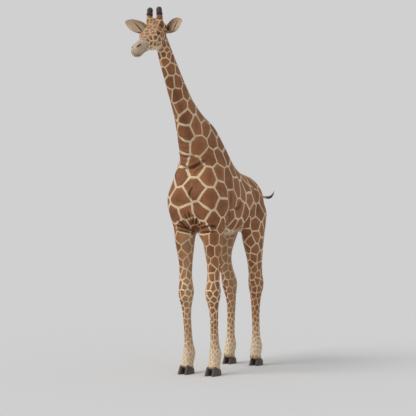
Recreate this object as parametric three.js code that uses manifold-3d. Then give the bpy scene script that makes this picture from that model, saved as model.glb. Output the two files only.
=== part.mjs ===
// A giraffe, life size, standing square, with its flesh in named nodes and its ears, ossicones, eyes,
// hooves, mane and tail tuft as pieces of their own. Millimetres, +Z up; it faces -Y, its left is at +X.
//
// The flesh is lofted from cross-sections. Trunk, neck, head and tail are runs of rings, each ring
// standing between an upper and a lower point of the side outline. A leg is a stack of level rings. The
// lofts are joined into one body, sockets are cut for the pieces that are set in, and flat cuts part the
// body into its nodes.
import * as THREE from "three";
import { LoftGeometry } from "three/addons/geometries/LoftGeometry.js";
import { mergeVertices } from "three/addons/utils/BufferGeometryUtils.js";
import Module from "manifold-3d";

const wasm = await Module();
wasm.setup();

// ---------- driving dimensions ----------
const FORE_TRACK = 426; // between the middles of the two fore feet
const HIND_TRACK = 446; // between the middles of the two hind feet
const WHEELBASE = 1365; // from the fore feet back to the hind feet
const HEAD_PITCH = 38; // degrees that the face slopes below level
const POLL = { y: -1200, z: 4757 }; // the crown between the ossicones
// Each claw's width, and its reach before and behind the middle of the foot.
const HOOF = {
  fore: { claw: 92, toe: -140, heel: 118 },
  hind: { claw: 84, toe: -130, heel: 108 },
};
const CLEFT = 12; // between the two claws of a foot
const CORONET = { z: 92, slope: 17 }; // height over the foot's middle, and degrees it falls to the heel
const EYE = { along: 236, high: -46, out: 122, radius: 26 }; // in the head's own directions
const EAR = {
  root: [88, -1168, 4632],
  tip: { left: [428, -1282, 4738], right: [428, -1282, 4784] }, // the left ear hangs a little lower
  sides: 6, // points across its hollow side, and as many across its outer side
};
const OSSICONE = { base: [84, -1238, 4690], tip: [66, -1247, 4949] };
const EAR_BASE = { at: [104, -1180, 4668], size: [52, 56, 66] }; // the swelling that an ear grows from
const CROWN_BOSS = { along: 40, high: 36, size: [50, 74, 34] }; // the swelling between the ossicones
const MANE = { width: 26, above: 34, below: 22 };
const GAP = 0.4; // clearance left by each cut and round each piece that is set into the flesh
const FAR = 6000; // longer than the animal, for the blocks that cut it

const vec = (x, y, z) => new THREE.Vector3(x, y, z);
const LEFTWARD = vec(1, 0, 0);
const BACKWARD = vec(0, 1, 0);

// ---------- smooth lofts ----------

// Turns rows of numbers into stations with named sizes.
function table(names, rows) {
  return rows.map((row) => Object.fromEntries(names.map((name, k) => [name, row[k]])));
}

// Reads every size of a table of stations at a fractional row, on Catmull-Rom curves through the rows.
function sizesAt(stations, row) {
  const i = Math.min(Math.floor(row), stations.length - 2);
  const t = row - i;
  const at = (k) => stations[THREE.MathUtils.clamp(k, 0, stations.length - 1)];
  const smooth = (a, b, c, d) =>
    0.5 * (2 * b + (c - a) * t + (2 * a - 5 * b + 4 * c - d) * t * t + (3 * b - a - 3 * c + d) * t ** 3);
  return Object.fromEntries(
    Object.keys(stations[0]).map((key) => [
      key,
      smooth(at(i - 1)[key], at(i)[key], at(i + 1)[key], at(i + 2)[key]),
    ]),
  );
}

function sampled(stations, perStation) {
  const steps = (stations.length - 1) * perStation;
  return Array.from({ length: steps + 1 }, (_, k) => sizesAt(stations, k / perStation));
}

// A closed ring, an ellipse above and below its widest line, squarer for a power over 2, slimmer under 2.
function ring({ centre, across, up, halfWidth, above, below, peak, power }, sides) {
  return Array.from({ length: sides }, (_, k) => {
    const turn = (2 * Math.PI * (k + 0.5)) / sides;
    const rising = Math.sin(turn) > 0;
    const bend = (v) => Math.sign(v) * Math.abs(v) ** (2 / (rising ? peak : power));
    return centre
      .clone()
      .addScaledVector(across, bend(Math.cos(turn)) * halfWidth)
      .addScaledVector(up, bend(Math.sin(turn)) * (rising ? above : below));
  });
}

// Rings between an upper and a lower outline in the middle plane, such as back and belly.
function outlineRings(stations, { perStation, sides, grow = 0 }) {
  return sampled(stations, perStation).map((s) => {
    const top = vec(0, s.topY, s.topZ);
    const bottom = vec(0, s.bottomY, s.bottomZ);
    const height = top.distanceTo(bottom);
    const up = top.clone().sub(bottom).normalize();
    return ring(
      {
        centre: bottom.clone().addScaledVector(up, height * s.widestAt),
        across: LEFTWARD,
        up,
        halfWidth: s.width / 2 + grow,
        above: height * (1 - s.widestAt) + grow,
        below: height * s.widestAt + grow,
        peak: s.peak,
        power: s.power,
      },
      sides,
    );
  });
}

// Level rings up a leg on one side of the body, over a foot standing at footX and footY.
function legRings(stations, side, footX, footY, { perStation, sides }) {
  return sampled(stations, perStation).map((s) =>
    ring(
      {
        centre: vec(side * (footX + s.outward), footY + s.back, s.height),
        across: LEFTWARD,
        up: BACKWARD,
        halfWidth: s.width / 2,
        above: s.depth / 2,
        below: s.depth / 2,
        peak: s.power,
        power: s.power,
      },
      sides,
    ),
  );
}

// A closed loft as a manifold-3d solid. Its rings run from back to front, or upwards.
function loft(rings) {
  return solidOf(new LoftGeometry(rings, { capStart: true, capEnd: true }));
}

function solidOf(geometry) {
  const bare = new THREE.BufferGeometry();
  bare.setAttribute("position", geometry.getAttribute("position"));
  bare.setIndex(geometry.getIndex());
  const merged = mergeVertices(bare, 1e-3);
  return new wasm.Manifold(
    new wasm.Mesh({
      numProp: 3,
      vertProperties: new Float32Array(merged.getAttribute("position").array),
      triVerts: new Uint32Array(merged.getIndex().array),
    }),
  );
}

function geometryOf(solid) {
  const mesh = solid.getMesh();
  const geometry = new THREE.BufferGeometry();
  geometry.setAttribute("position", new THREE.BufferAttribute(new Float32Array(mesh.vertProperties), 3));
  geometry.setIndex(new THREE.BufferAttribute(new Uint32Array(mesh.triVerts), 1));
  geometry.computeVertexNormals();
  return geometry;
}

// A block with a given centre and sizes, turned about the left-right axis by a number of degrees.
function block(centre, size, turn = 0) {
  const geometry = new THREE.BoxGeometry(...size);
  geometry.rotateX(THREE.MathUtils.degToRad(turn));
  geometry.translate(...centre);
  return solidOf(geometry);
}

// The half of space on the side that `away` points to, from a point of the middle plane.
function beyond(point, away) {
  const turn = Math.atan2(away[1], away[0]);
  const centre = [0, point[0] + (Math.cos(turn) * FAR) / 2, point[1] + (Math.sin(turn) * FAR) / 2];
  return block(centre, [FAR, FAR, FAR], THREE.MathUtils.radToDeg(turn));
}

// ---------- trunk ----------
const OUTLINE = ["topY", "topZ", "bottomY", "bottomZ", "width", "widestAt", "peak", "power"];
const trunk = table(OUTLINE, [
  [1772, 2530, 1755, 2350, 120, 0.5, 2.0, 2.0], // tip of the rump
  [1712, 2622, 1700, 2200, 330, 0.5, 2.0, 2.1], // buttocks
  [1600, 2755, 1570, 2090, 505, 0.48, 2.0, 2.2], // hips
  [1420, 2845, 1400, 2040, 610, 0.46, 1.8, 2.2], // croup
  [1150, 2885, 1160, 2010, 650, 0.44, 1.7, 2.2], // loin
  [890, 2995, 900, 1965, 710, 0.42, 1.6, 2.3], // last ribs
  [690, 3150, 690, 1940, 745, 0.4, 1.5, 2.3], // ribs
  [520, 3350, 500, 1930, 762, 0.38, 1.45, 2.3], // girth
  [340, 3515, 310, 1945, 765, 0.36, 1.5, 2.2], // withers
  [150, 3600, 120, 1975, 740, 0.35, 1.5, 2.2],
  [-20, 3500, -60, 2030, 710, 0.34, 1.6, 2.3], // shoulders
  [-150, 3260, -200, 2110, 670, 0.36, 1.8, 2.4],
  [-265, 3020, -300, 2240, 590, 0.4, 2.0, 2.4], // breast
  [-342, 2830, -357, 2380, 420, 0.45, 2.0, 2.3],
  [-374, 2690, -380, 2520, 190, 0.5, 2.0, 2.0],
]);

// ---------- neck ----------
const neck = table(OUTLINE, [
  [420, 3400, -160, 2620, 540, 0.45, 1.8, 2.0], // inside the trunk
  [230, 3550, -300, 2810, 500, 0.45, 1.7, 2.0], // pit of the throat
  [60, 3632, -375, 2965, 430, 0.45, 1.8, 2.0],
  [-80, 3706, -445, 3120, 360, 0.46, 1.8, 2.0],
  [-200, 3777, -518, 3275, 300, 0.47, 2.0, 2.0],
  [-340, 3885, -612, 3480, 252, 0.48, 2.0, 2.0],
  [-500, 4045, -735, 3690, 225, 0.5, 2.0, 2.0],
  [-640, 4200, -860, 3880, 202, 0.5, 2.0, 2.0],
  [-780, 4360, -972, 4080, 184, 0.5, 2.0, 2.0],
  [-905, 4505, -1065, 4270, 174, 0.5, 2.0, 2.0],
  [-1010, 4625, -1140, 4430, 170, 0.5, 2.0, 2.0], // behind the jaw
  [-1090, 4700, -1195, 4540, 160, 0.5, 2.0, 2.0],
]);

// ---------- head ----------
// Sizes are in the head's own directions: along the face from the poll, and square to it.
const face = table(
  ["along", "crown", "jaw", "width", "widestAt", "peak", "power"],
  [
    [-78, -50, -130, 90, 0.5, 2.0, 2.0],
    [-45, 26, -205, 192, 0.6, 2.0, 2.1], // back of the skull
    [15, 58, -260, 238, 0.66, 2.3, 2.2], // ossicones
    [80, 50, -286, 252, 0.69, 2.3, 2.2],
    [150, 28, -298, 268, 0.74, 2.3, 2.1], // angle of the jaw
    [225, 12, -290, 290, 0.8, 2.5, 2.1], // eyes
    [290, 10, -262, 284, 0.8, 2.6, 2.1], // brows
    [360, 6, -216, 218, 0.68, 2.2, 2.1],
    [430, 14, -184, 170, 0.56, 2.1, 2.1],
    [510, 28, -160, 146, 0.5, 2.2, 2.1],
    [590, 36, -142, 142, 0.5, 2.4, 2.2], // nostrils
    [650, 32, -132, 146, 0.5, 2.5, 2.3],
    [698, 14, -118, 128, 0.5, 2.3, 2.2], // lips
    [722, -10, -96, 92, 0.5, 2.1, 2.1],
    [734, -34, -76, 40, 0.5, 2.0, 2.0],
  ],
);

const pitch = THREE.MathUtils.degToRad(HEAD_PITCH);
const inHead = (out, along, high) =>
  vec(
    out,
    POLL.y - Math.cos(pitch) * along - Math.sin(pitch) * high,
    POLL.z - Math.sin(pitch) * along + Math.cos(pitch) * high,
  );

const head = face.map((s) => {
  const top = inHead(0, s.along, s.crown);
  const bottom = inHead(0, s.along, s.jaw);
  const { width, widestAt, peak, power } = s;
  return { topY: top.y, topZ: top.z, bottomY: bottom.y, bottomZ: bottom.z, width, widestAt, peak, power };
});

// ---------- legs ----------
const LEG = ["height", "outward", "back", "width", "depth", "power"];
const foreleg = table(LEG, [
  [30, 0, -20, 165, 215, 2.3], // inside the hooves
  [96, 0, 8, 172, 222, 2.3], // coronet
  [156, 0, 38, 158, 226, 2.2], // pastern
  [225, -2, 62, 158, 238, 2.1],
  [300, -4, 76, 162, 244, 2.0], // fetlock
  [380, -5, 64, 134, 196, 2.0],
  [470, -4, 53, 117, 164, 2.0],
  [640, -2, 39, 113, 148, 2.0], // cannon
  [800, 2, 22, 118, 156, 2.0],
  [900, 2, 11, 128, 178, 2.0],
  [985, 2, 0, 154, 208, 2.1],
  [1060, 0, -6, 188, 246, 2.2], // knee
  [1140, 0, -5, 208, 264, 2.3],
  [1215, 0, -6, 202, 256, 2.2],
  [1300, 4, -8, 176, 234, 2.1],
  [1400, 8, -5, 172, 230, 2.0],
  [1550, 8, -6, 184, 250, 2.0], // forearm
  [1700, 8, -15, 214, 316, 2.0],
  [1880, 7, -26, 252, 388, 2.0],
  [2050, 6, -10, 300, 450, 2.1], // elbow
  [2200, 12, -14, 350, 560, 2.3],
  [2350, 16, -46, 374, 620, 2.4], // point of the shoulder
  [2500, 8, -56, 362, 604, 2.4],
  [2680, -12, -34, 330, 540, 2.3],
  [2880, -38, 20, 280, 450, 2.1],
  [3080, -72, 90, 220, 360, 2.0], // shoulder blade
  [3260, -108, 160, 150, 260, 2.0],
]);

const hindleg = table(LEG, [
  [30, 0, -30, 150, 200, 2.3], // inside the hooves
  [96, -2, -24, 156, 204, 2.3], // coronet
  [190, -4, -8, 154, 232, 2.2], // pastern
  [255, -5, 14, 164, 250, 2.1], // fetlock
  [340, -8, 22, 142, 212, 2.0],
  [430, -10, 16, 120, 172, 2.0],
  [560, -13, 14, 114, 160, 2.0], // cannon
  [760, -18, 14, 118, 166, 2.0],
  [880, -20, 15, 128, 184, 2.0],
  [970, -16, 12, 142, 208, 2.0],
  [1060, -11, 6, 166, 246, 2.1],
  [1150, -4, -4, 194, 300, 2.2], // hock
  [1240, 0, -16, 200, 334, 2.2],
  [1330, 6, -36, 186, 318, 2.1],
  [1420, 18, -72, 186, 316, 2.0],
  [1510, 29, -108, 194, 332, 2.0], // gaskin
  [1600, 35, -132, 206, 366, 2.0],
  [1700, 32, -146, 226, 424, 2.0],
  [1870, 14, -136, 266, 540, 2.0],
  [2080, -14, -84, 306, 616, 2.1], // stifle
  [2290, -38, -4, 322, 620, 2.2], // thigh
  [2470, -76, 16, 272, 510, 2.2], // hip
  [2620, -112, 20, 180, 340, 2.1],
]);

// ---------- tail and its tuft ----------
const tail = table(OUTLINE, [
  [2235, 2542, 2236, 2502, 36, 0.5, 2.0, 2.0],
  [2050, 2550, 2052, 2505, 42, 0.5, 2.0, 2.0],
  [1880, 2566, 1885, 2502, 56, 0.5, 2.0, 2.0],
  [1760, 2580, 1770, 2490, 80, 0.5, 2.0, 2.0],
  [1640, 2560, 1650, 2450, 100, 0.5, 2.0, 2.0],
]);

const tuft = table(OUTLINE, [
  [2496, 2640, 2502, 2632, 8, 0.5, 2.0, 2.0], // tip
  [2464, 2612, 2478, 2586, 28, 0.5, 2.0, 2.0],
  [2414, 2574, 2428, 2538, 42, 0.5, 2.0, 2.0],
  [2340, 2550, 2346, 2506, 46, 0.5, 2.0, 2.0],
  [2237, 2542, 2238, 2502, 38, 0.5, 2.0, 2.0],
]);

// ---------- pieces set into the flesh ----------

// The two ends of a piece on one side of the head, moved apart by what it grows.
function lengthened(base, tip, side, grow) {
  const from = vec(side * base[0], base[1], base[2]);
  const to = vec(side * tip[0], tip[1], tip[2]);
  const unit = to.clone().sub(from).normalize();
  return { from: from.addScaledVector(unit, -grow), to: to.addScaledVector(unit, grow) };
}

// A straight stalk from one point to another, with a radius at each of its even stations.
function stalkRings(from, to, radii, sides, grow) {
  const axis = to.clone().sub(from);
  const up = axis.clone().normalize();
  const back = LEFTWARD.clone().cross(up).normalize().negate();
  const across = up.clone().cross(back).negate();
  return radii.map(([at, radius]) =>
    ring(
      {
        centre: from.clone().addScaledVector(axis, at),
        across,
        up: back,
        halfWidth: radius + grow,
        above: radius + grow,
        below: radius + grow,
        peak: 2,
        power: 2,
      },
      sides,
    ),
  );
}

const OSSICONE_RADII = [
  [0, 34],
  [0.25, 45],
  [0.42, 43],
  [0.62, 38],
  [0.8, 39],
  [0.91, 36],
  [0.975, 24],
  [1, 8],
];

function ossicone(side, grow = 0) {
  const { from, to } = lengthened(OSSICONE.base, OSSICONE.tip, side, grow);
  return loft(stalkRings(from, to, OSSICONE_RADII, 12, grow));
}

// The swelling of the skull in the middle, before the ossicones.
function crownBoss() {
  const geometry = new THREE.SphereGeometry(1, 10, 6);
  geometry.scale(...CROWN_BOSS.size);
  geometry.rotateX(pitch);
  const centre = inHead(0, CROWN_BOSS.along, CROWN_BOSS.high);
  geometry.translate(centre.x, centre.y, centre.z);
  return solidOf(geometry);
}

// The fleshy base of an ear, on the side of the skull.
function earBase(side) {
  const geometry = new THREE.SphereGeometry(1, 9, 6);
  geometry.scale(...EAR_BASE.size);
  geometry.translate(side * EAR_BASE.at[0], EAR_BASE.at[1], EAR_BASE.at[2]);
  return solidOf(geometry);
}

const earSizes = table(
  ["at", "width", "cup", "thick"],
  [
    [0, 52, 0, 26],
    [0.13, 84, 0, 24],
    [0.26, 122, 24, 16],
    [0.4, 148, 38, 11],
    [0.56, 158, 34, 10],
    [0.73, 138, 24, 9],
    [0.88, 90, 11, 8],
    [1, 26, 1, 6],
  ],
);

// A cupped leaf, thin and open to the front. Each ring runs along its hollow side and back on its outer.
function ear(side, grow = 0) {
  const end = side > 0 ? EAR.tip.left : EAR.tip.right;
  const [root, tip] = [EAR.root, end].map(([x, y, z]) => vec(side * x, y, z));
  const axis = tip.clone().sub(root);
  const along = axis.clone().normalize();
  const open = vec(side * 0.25, -1, 0.05).projectOnPlane(along).normalize();
  const wide = open.clone().cross(axis).normalize().multiplyScalar(side);
  const turns = Array.from({ length: EAR.sides }, (_, k) => (Math.PI * k) / (EAR.sides - 1));
  const rings = sampled(earSizes, 1).map((s, k, { length }) => {
    const past = k === 0 ? -grow : k === length - 1 ? grow : 0;
    const point = (turn, outer) => {
      const rim = Math.sin(turn) < 0.01;
      const spread = s.width / 2 + (outer || rim ? grow : 0);
      const lift = outer ? -s.thick / 2 - grow : s.thick / 2 + (rim ? 3 : 2) * grow; // steep near the rims
      return root
        .clone()
        .addScaledVector(axis, s.at)
        .addScaledVector(along, past)
        .addScaledVector(wide, Math.cos(turn) * spread)
        .addScaledVector(open, lift - Math.sin(turn) * s.cup);
    };
    const inside = turns.map((turn) => point(turn, false));
    const outside = turns.toReversed().map((turn) => point(turn, true));
    return [...inside, ...outside];
  });
  return loft(side > 0 ? rings : rings.map((points) => points.toReversed()));
}

function eye(side, grow = 0) {
  const geometry = new THREE.SphereGeometry(EYE.radius + grow, 10, 7);
  const centre = inHead(side * EYE.out, EYE.along, EYE.high);
  geometry.translate(centre.x, centre.y, centre.z);
  return solidOf(geometry);
}

// A ridge of upright hair on the nape, from the withers to the ears.
function mane(grow = 0) {
  const stations = sampled(neck.slice(2, -1), 1).map((s) => {
    const top = vec(0, s.topY, s.topZ);
    const out = top.clone().sub(vec(0, s.bottomY, s.bottomZ)).normalize();
    const crest = top.clone().addScaledVector(out, MANE.above);
    const root = top.clone().addScaledVector(out, -MANE.below);
    return {
      topY: crest.y,
      topZ: crest.z,
      bottomY: root.y,
      bottomZ: root.z,
      width: MANE.width,
      widestAt: 0.4,
      peak: 1.6,
      power: 2,
    };
  });
  return loft(outlineRings(stations, { perStation: 1, sides: 8, grow }));
}

// ---------- hooves ----------
const clawSizes = table(
  ["height", "toe", "heel", "width"],
  [
    [0, 0, 0, 0],
    [30, 10, -1, -3],
    [70, 26, -5, -7],
    [140, 62, -14, -14],
  ],
);

// One claw of a foot, wider at the sole than at the coronet.
function claw(foot, inner) {
  const { claw: breadth, toe: front, heel: rear } = foot.hoof;
  const outward = foot.side * (inner ? -1 : 1);
  const rings = clawSizes.map((s) => {
    const width = breadth + s.width;
    const toe = front + s.toe;
    const heel = rear + s.heel;
    const across = foot.side * foot.x + outward * ((CLEFT + width) / 2);
    return ring(
      {
        centre: vec(across, foot.y + (toe + heel) / 2, s.height),
        across: LEFTWARD,
        up: BACKWARD,
        halfWidth: width / 2,
        above: (heel - toe) / 2,
        below: (heel - toe) / 2,
        peak: 2.6,
        power: 2.2,
      },
      10,
    );
  });
  return loft(rings);
}

// The half of space above the coronet of a foot, which slopes down to the heel.
function aboveCoronet(footY, lift) {
  const slope = THREE.MathUtils.degToRad(CORONET.slope);
  return beyond([footY, CORONET.z + lift], [Math.sin(slope), Math.cos(slope)]);
}

// ---------- the body, its sockets and its cuts ----------
const sides = [
  { side: 1, name: "left" },
  { side: -1, name: "right" },
];
const feet = sides.flatMap(({ side, name }) => [
  { side, name: `fore_${name}`, x: FORE_TRACK / 2, y: 0, stations: foreleg, hoof: HOOF.fore },
  { side, name: `hind_${name}`, x: HIND_TRACK / 2, y: WHEELBASE, stations: hindleg, hoof: HOOF.hind },
]);

const join = (solids) => solids.reduce((whole, solid) => whole.add(solid));
const legs = feet.map((foot) => {
  const stack = loft(legRings(foot.stations, foot.side, foot.x, foot.y, { perStation: 1, sides: 14 }));
  return stack.intersect(aboveCoronet(foot.y, GAP / 2));
});

const whole = join([
  loft(outlineRings(trunk, { perStation: 2, sides: 18 })),
  loft(outlineRings(neck, { perStation: 2, sides: 12 })),
  loft(outlineRings(head, { perStation: 2, sides: 16 })),
  loft(outlineRings(tail, { perStation: 1, sides: 8 })),
  crownBoss(),
  ...sides.map(({ side }) => earBase(side)),
  ...legs,
]);
const setIn = sides.flatMap(({ side }) => [ear(side, GAP), ossicone(side, GAP), eye(side, GAP)]);
const body = [mane(GAP), ...setIn].reduce((solid, socket) => solid.subtract(socket), whole);

// Each cut is a plane through a point of the middle plane, [y, z], with the way it faces.
const HEAD_CUT = { at: [-1130, 4560], faces: [-0.98, 0.19] };
const NECK_CUT = { at: [-112, 3250], faces: [-0.87, 0.5] };
const TAIL_CUT = { at: [1800, 2530], faces: [1, 0.1] };
const FORELEG_CUT = { inner: 75, front: -500, behind: 232, at: [0, 2045], faces: [0, -1] };
const HINDLEG_CUT = { inner: 45, front: 925, behind: 2200, at: [1000, 1995], faces: [0.454, -0.891] };

const past = ({ at, faces }, lift) => beyond([at[0] + faces[0] * lift, at[1] + faces[1] * lift], faces);
const split = (solid, cut) => [solid.intersect(past(cut, GAP / 2)), solid.subtract(past(cut, -GAP / 2))];

const [headFlesh, belowHead] = split(body, HEAD_CUT);
const [neckFlesh, belowNeck] = split(belowHead, NECK_CUT);
const [tailFlesh, torso] = split(belowNeck, TAIL_CUT);

// The region that holds one leg, from the floor up to its cut through the elbow or the thigh.
function legRegion({ side, y }, grow) {
  const cut = y > 0 ? HINDLEG_CUT : FORELEG_CUT;
  const centre = [side * (cut.inner + FAR / 2), (cut.front + cut.behind) / 2, 0];
  const box = block(centre, [FAR + grow, cut.behind - cut.front + grow, FAR]);
  return box.intersect(past(cut, -grow / 2));
}

const giraffe = new THREE.Group();
const paint = {
  coat: { color: 0xa5642f, roughness: 0.85 },
  dark: { color: 0x2b1d16, roughness: 0.9 },
  hoof: { color: 0x4a3d33, roughness: 0.6 },
  eye: { color: 0x140c08, roughness: 0.1 },
};

function add(name, solid, look) {
  const mesh = new THREE.Mesh(geometryOf(solid), new THREE.MeshStandardMaterial({ ...look, metalness: 0 }));
  mesh.name = name;
  giraffe.add(mesh);
}

add("head", headFlesh, paint.coat);
add("neck", neckFlesh, paint.coat);
add("trunk", feet.reduce((solid, foot) => solid.subtract(legRegion(foot, GAP / 2)), torso), paint.coat);
add("tail", tailFlesh, paint.coat);
for (const foot of feet) {
  add(`leg_${foot.name}`, torso.intersect(legRegion(foot, -GAP / 2)), paint.coat);
}
for (const { side, name } of sides) {
  add(`ear_${name}`, ear(side), paint.coat);
  add(`ossicone_${name}`, ossicone(side), paint.dark);
  add(`eye_${name}`, eye(side), paint.eye);
}
for (const foot of feet) {
  for (const inner of [true, false]) {
    const hoof = claw(foot, inner).subtract(aboveCoronet(foot.y, -GAP / 2));
    add(`hoof_${foot.name}_${inner ? "inner" : "outer"}`, hoof, paint.hoof);
  }
}
add("mane", mane(), paint.dark);
add("tail_tuft", loft(outlineRings(tuft, { perStation: 2, sides: 6 })), paint.dark);

// The origin is under the middle of the whole figure, on the floor.
const bounds = new THREE.Box3().setFromObject(giraffe);
const middle = bounds.getCenter(vec(0, 0, 0));
for (const mesh of giraffe.children) {
  mesh.geometry.translate(-middle.x, -middle.y, -bounds.min.z);
}

export default giraffe;
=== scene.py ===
# %% [markdown]
# # A giraffe, life size
#
# The solids of the giraffe come from CAD: flesh parted into head, neck, trunk, tail and legs, and the ears,
# ossicones, eyes, hooves, mane and tail tuft as pieces of their own. This lesson dresses them. One skin grows
# out of the flesh solids, muscles and folds are raised and pressed into it, and then come ears, eyes, horns,
# hooves, the coat's markings and the hair itself.
#
# Everything is in metres, with +Z up. The animal faces -Y and its left side is at +X.

# %% The frame, and the box that the CAD model fills
import math

import bmesh
import bpy
import numpy as np
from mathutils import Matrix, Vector
from mathutils.bvhtree import BVHTree


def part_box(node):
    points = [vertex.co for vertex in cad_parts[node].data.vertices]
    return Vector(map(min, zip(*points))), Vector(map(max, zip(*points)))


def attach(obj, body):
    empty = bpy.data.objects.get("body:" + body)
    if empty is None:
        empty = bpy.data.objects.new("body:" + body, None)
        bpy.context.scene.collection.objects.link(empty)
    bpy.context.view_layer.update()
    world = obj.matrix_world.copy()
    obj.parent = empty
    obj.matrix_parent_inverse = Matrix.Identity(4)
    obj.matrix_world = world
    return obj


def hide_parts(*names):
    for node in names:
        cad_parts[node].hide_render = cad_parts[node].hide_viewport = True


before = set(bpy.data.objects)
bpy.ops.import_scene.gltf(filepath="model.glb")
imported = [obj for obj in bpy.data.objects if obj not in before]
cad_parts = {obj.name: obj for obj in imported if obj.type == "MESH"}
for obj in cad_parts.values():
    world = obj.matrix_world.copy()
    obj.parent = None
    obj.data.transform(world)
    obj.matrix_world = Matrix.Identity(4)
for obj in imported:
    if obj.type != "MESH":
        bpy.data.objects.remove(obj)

for leftover in ("Cube", "Light", "Camera"):
    if leftover in bpy.data.objects:
        bpy.data.objects.remove(bpy.data.objects[leftover])
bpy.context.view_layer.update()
chance = np.random.default_rng(11)

# %% [markdown]
# Places on the animal are easier to think of from its feet and its head than from the corner of a box. So the
# body's own measure starts on the floor between the fore feet, and the head's starts at the poll, the crown
# between the ossicones, and runs down the slope of the face.

# %% Landmarks of the body and of the head
FORE_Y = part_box("hoof_fore_left_inner")[0][1] + 0.140
HIND_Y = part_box("hoof_hind_left_inner")[0][1] + 0.130
POLL = np.array([0, FORE_Y - 1.200, 4.757])
FACE_PITCH = math.radians(38)
DOWN_FACE = np.array([0, -math.cos(FACE_PITCH), -math.sin(FACE_PITCH)])
OFF_FACE = np.array([0, -math.sin(FACE_PITCH), math.cos(FACE_PITCH)])
SIDEWAYS = np.array([1.0, 0, 0])
EYE = {"along": 0.236, "high": -0.046, "out": 0.121, "radius": 0.0245}
SIDES = ((1, "left"), (-1, "right"))


def body(points):
    """Points measured from the floor between the fore feet, as points of the frame."""
    return np.asarray(points, float) + [0, FORE_Y, 0]


def on_body(points):
    """The body's own measure of points of the frame, as (across, along, high)."""
    return points - [0, FORE_Y, 0]


def face(points):
    """Points given as (out to the side, along the face, off the face), as points of the frame."""
    out, along, high = np.asarray(points, float).T
    return POLL + np.outer(out, SIDEWAYS) + np.outer(along, DOWN_FACE) + np.outer(high, OFF_FACE)


def on_face(points):
    """The head's own measure of points of the frame, as (out, along, high)."""
    away = points - POLL
    return np.stack([away[:, 0], away @ DOWN_FACE, away @ OFF_FACE], axis=1)


print("fore feet at y", round(FORE_Y, 3), "hind feet at y", round(HIND_Y, 3))

# %% [markdown]
# The camera stands low and well off to the animal's left front, with a long lens, so the legs stay upright
# and the head isn't shrunk. The one lamp is a sun from the front. It could be a small hard one, but a sun as
# wide as an overcast sky softens the edges of the shadows, and the folds of the skin then read as gentle
# shading.

# %% The camera and one wide lamp
camera = bpy.data.objects.new("camera", bpy.data.cameras.new("camera"))
camera.location = (7.70, FORE_Y - 14.25, 2.11)
sight = Vector((-0.469, 0.883, math.tan(math.radians(0.78)))).normalized()
camera.rotation_euler = sight.to_track_quat("-Z", "Y").to_euler()
camera.data.lens = 100
camera.data.sensor_width = 36
camera.data.clip_end = 300
bpy.context.scene.collection.objects.link(camera)
bpy.context.scene.camera = camera

scene = bpy.context.scene
scene.view_settings.view_transform = "Standard"

key = bpy.data.objects.new("key_light", bpy.data.lights.new("key_light", "SUN"))
key.data.energy = 1.75
key.data.angle = math.radians(38)
key.rotation_euler = Vector((0.34, 0.62, -0.72)).to_track_quat("-Z", "Y").to_euler()
scene.collection.objects.link(key)
print("camera at", [round(part, 2) for part in camera.location])

# %% [markdown]
# A material is a small graph of nodes. Written as a graph it is hard to read, so one class wraps a socket and
# lets plain sums and products stand for Math nodes. Every other node comes from one method, which sets what
# the node is to do first, since that decides which sockets it shows.

# %% Sockets that add and multiply
class Wire:
    """An output socket of a material's tree, for use in ordinary arithmetic."""

    def __init__(self, paint, socket):
        self.paint = paint
        self.socket = socket

    def reckon(self, operation, *values, clamp=False):
        settings = {"operation": operation, "use_clamp": clamp}
        return self.paint.node("ShaderNodeMath", settings, **{str(k): v for k, v in enumerate(values)})

    def __add__(self, other):
        return self.reckon("ADD", self, other)

    def __sub__(self, other):
        return self.reckon("SUBTRACT", self, other)

    def __rsub__(self, other):
        return self.reckon("SUBTRACT", other, self)

    def __mul__(self, other):
        return self.reckon("MULTIPLY", self, other)

    __radd__ = __add__
    __rmul__ = __mul__

    def clamped(self):
        return self.reckon("ADD", self, 0.0, clamp=True)

    def between(self, low, high):
        """0 below low, 1 above high, and a smooth step between them."""
        settings = {"interpolation_type": "SMOOTHSTEP"}
        values = {"Value": self, "From Min": low, "From Max": high}
        return self.paint.node("ShaderNodeMapRange", settings, **values)


print("sums and products of sockets are ready")


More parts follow.
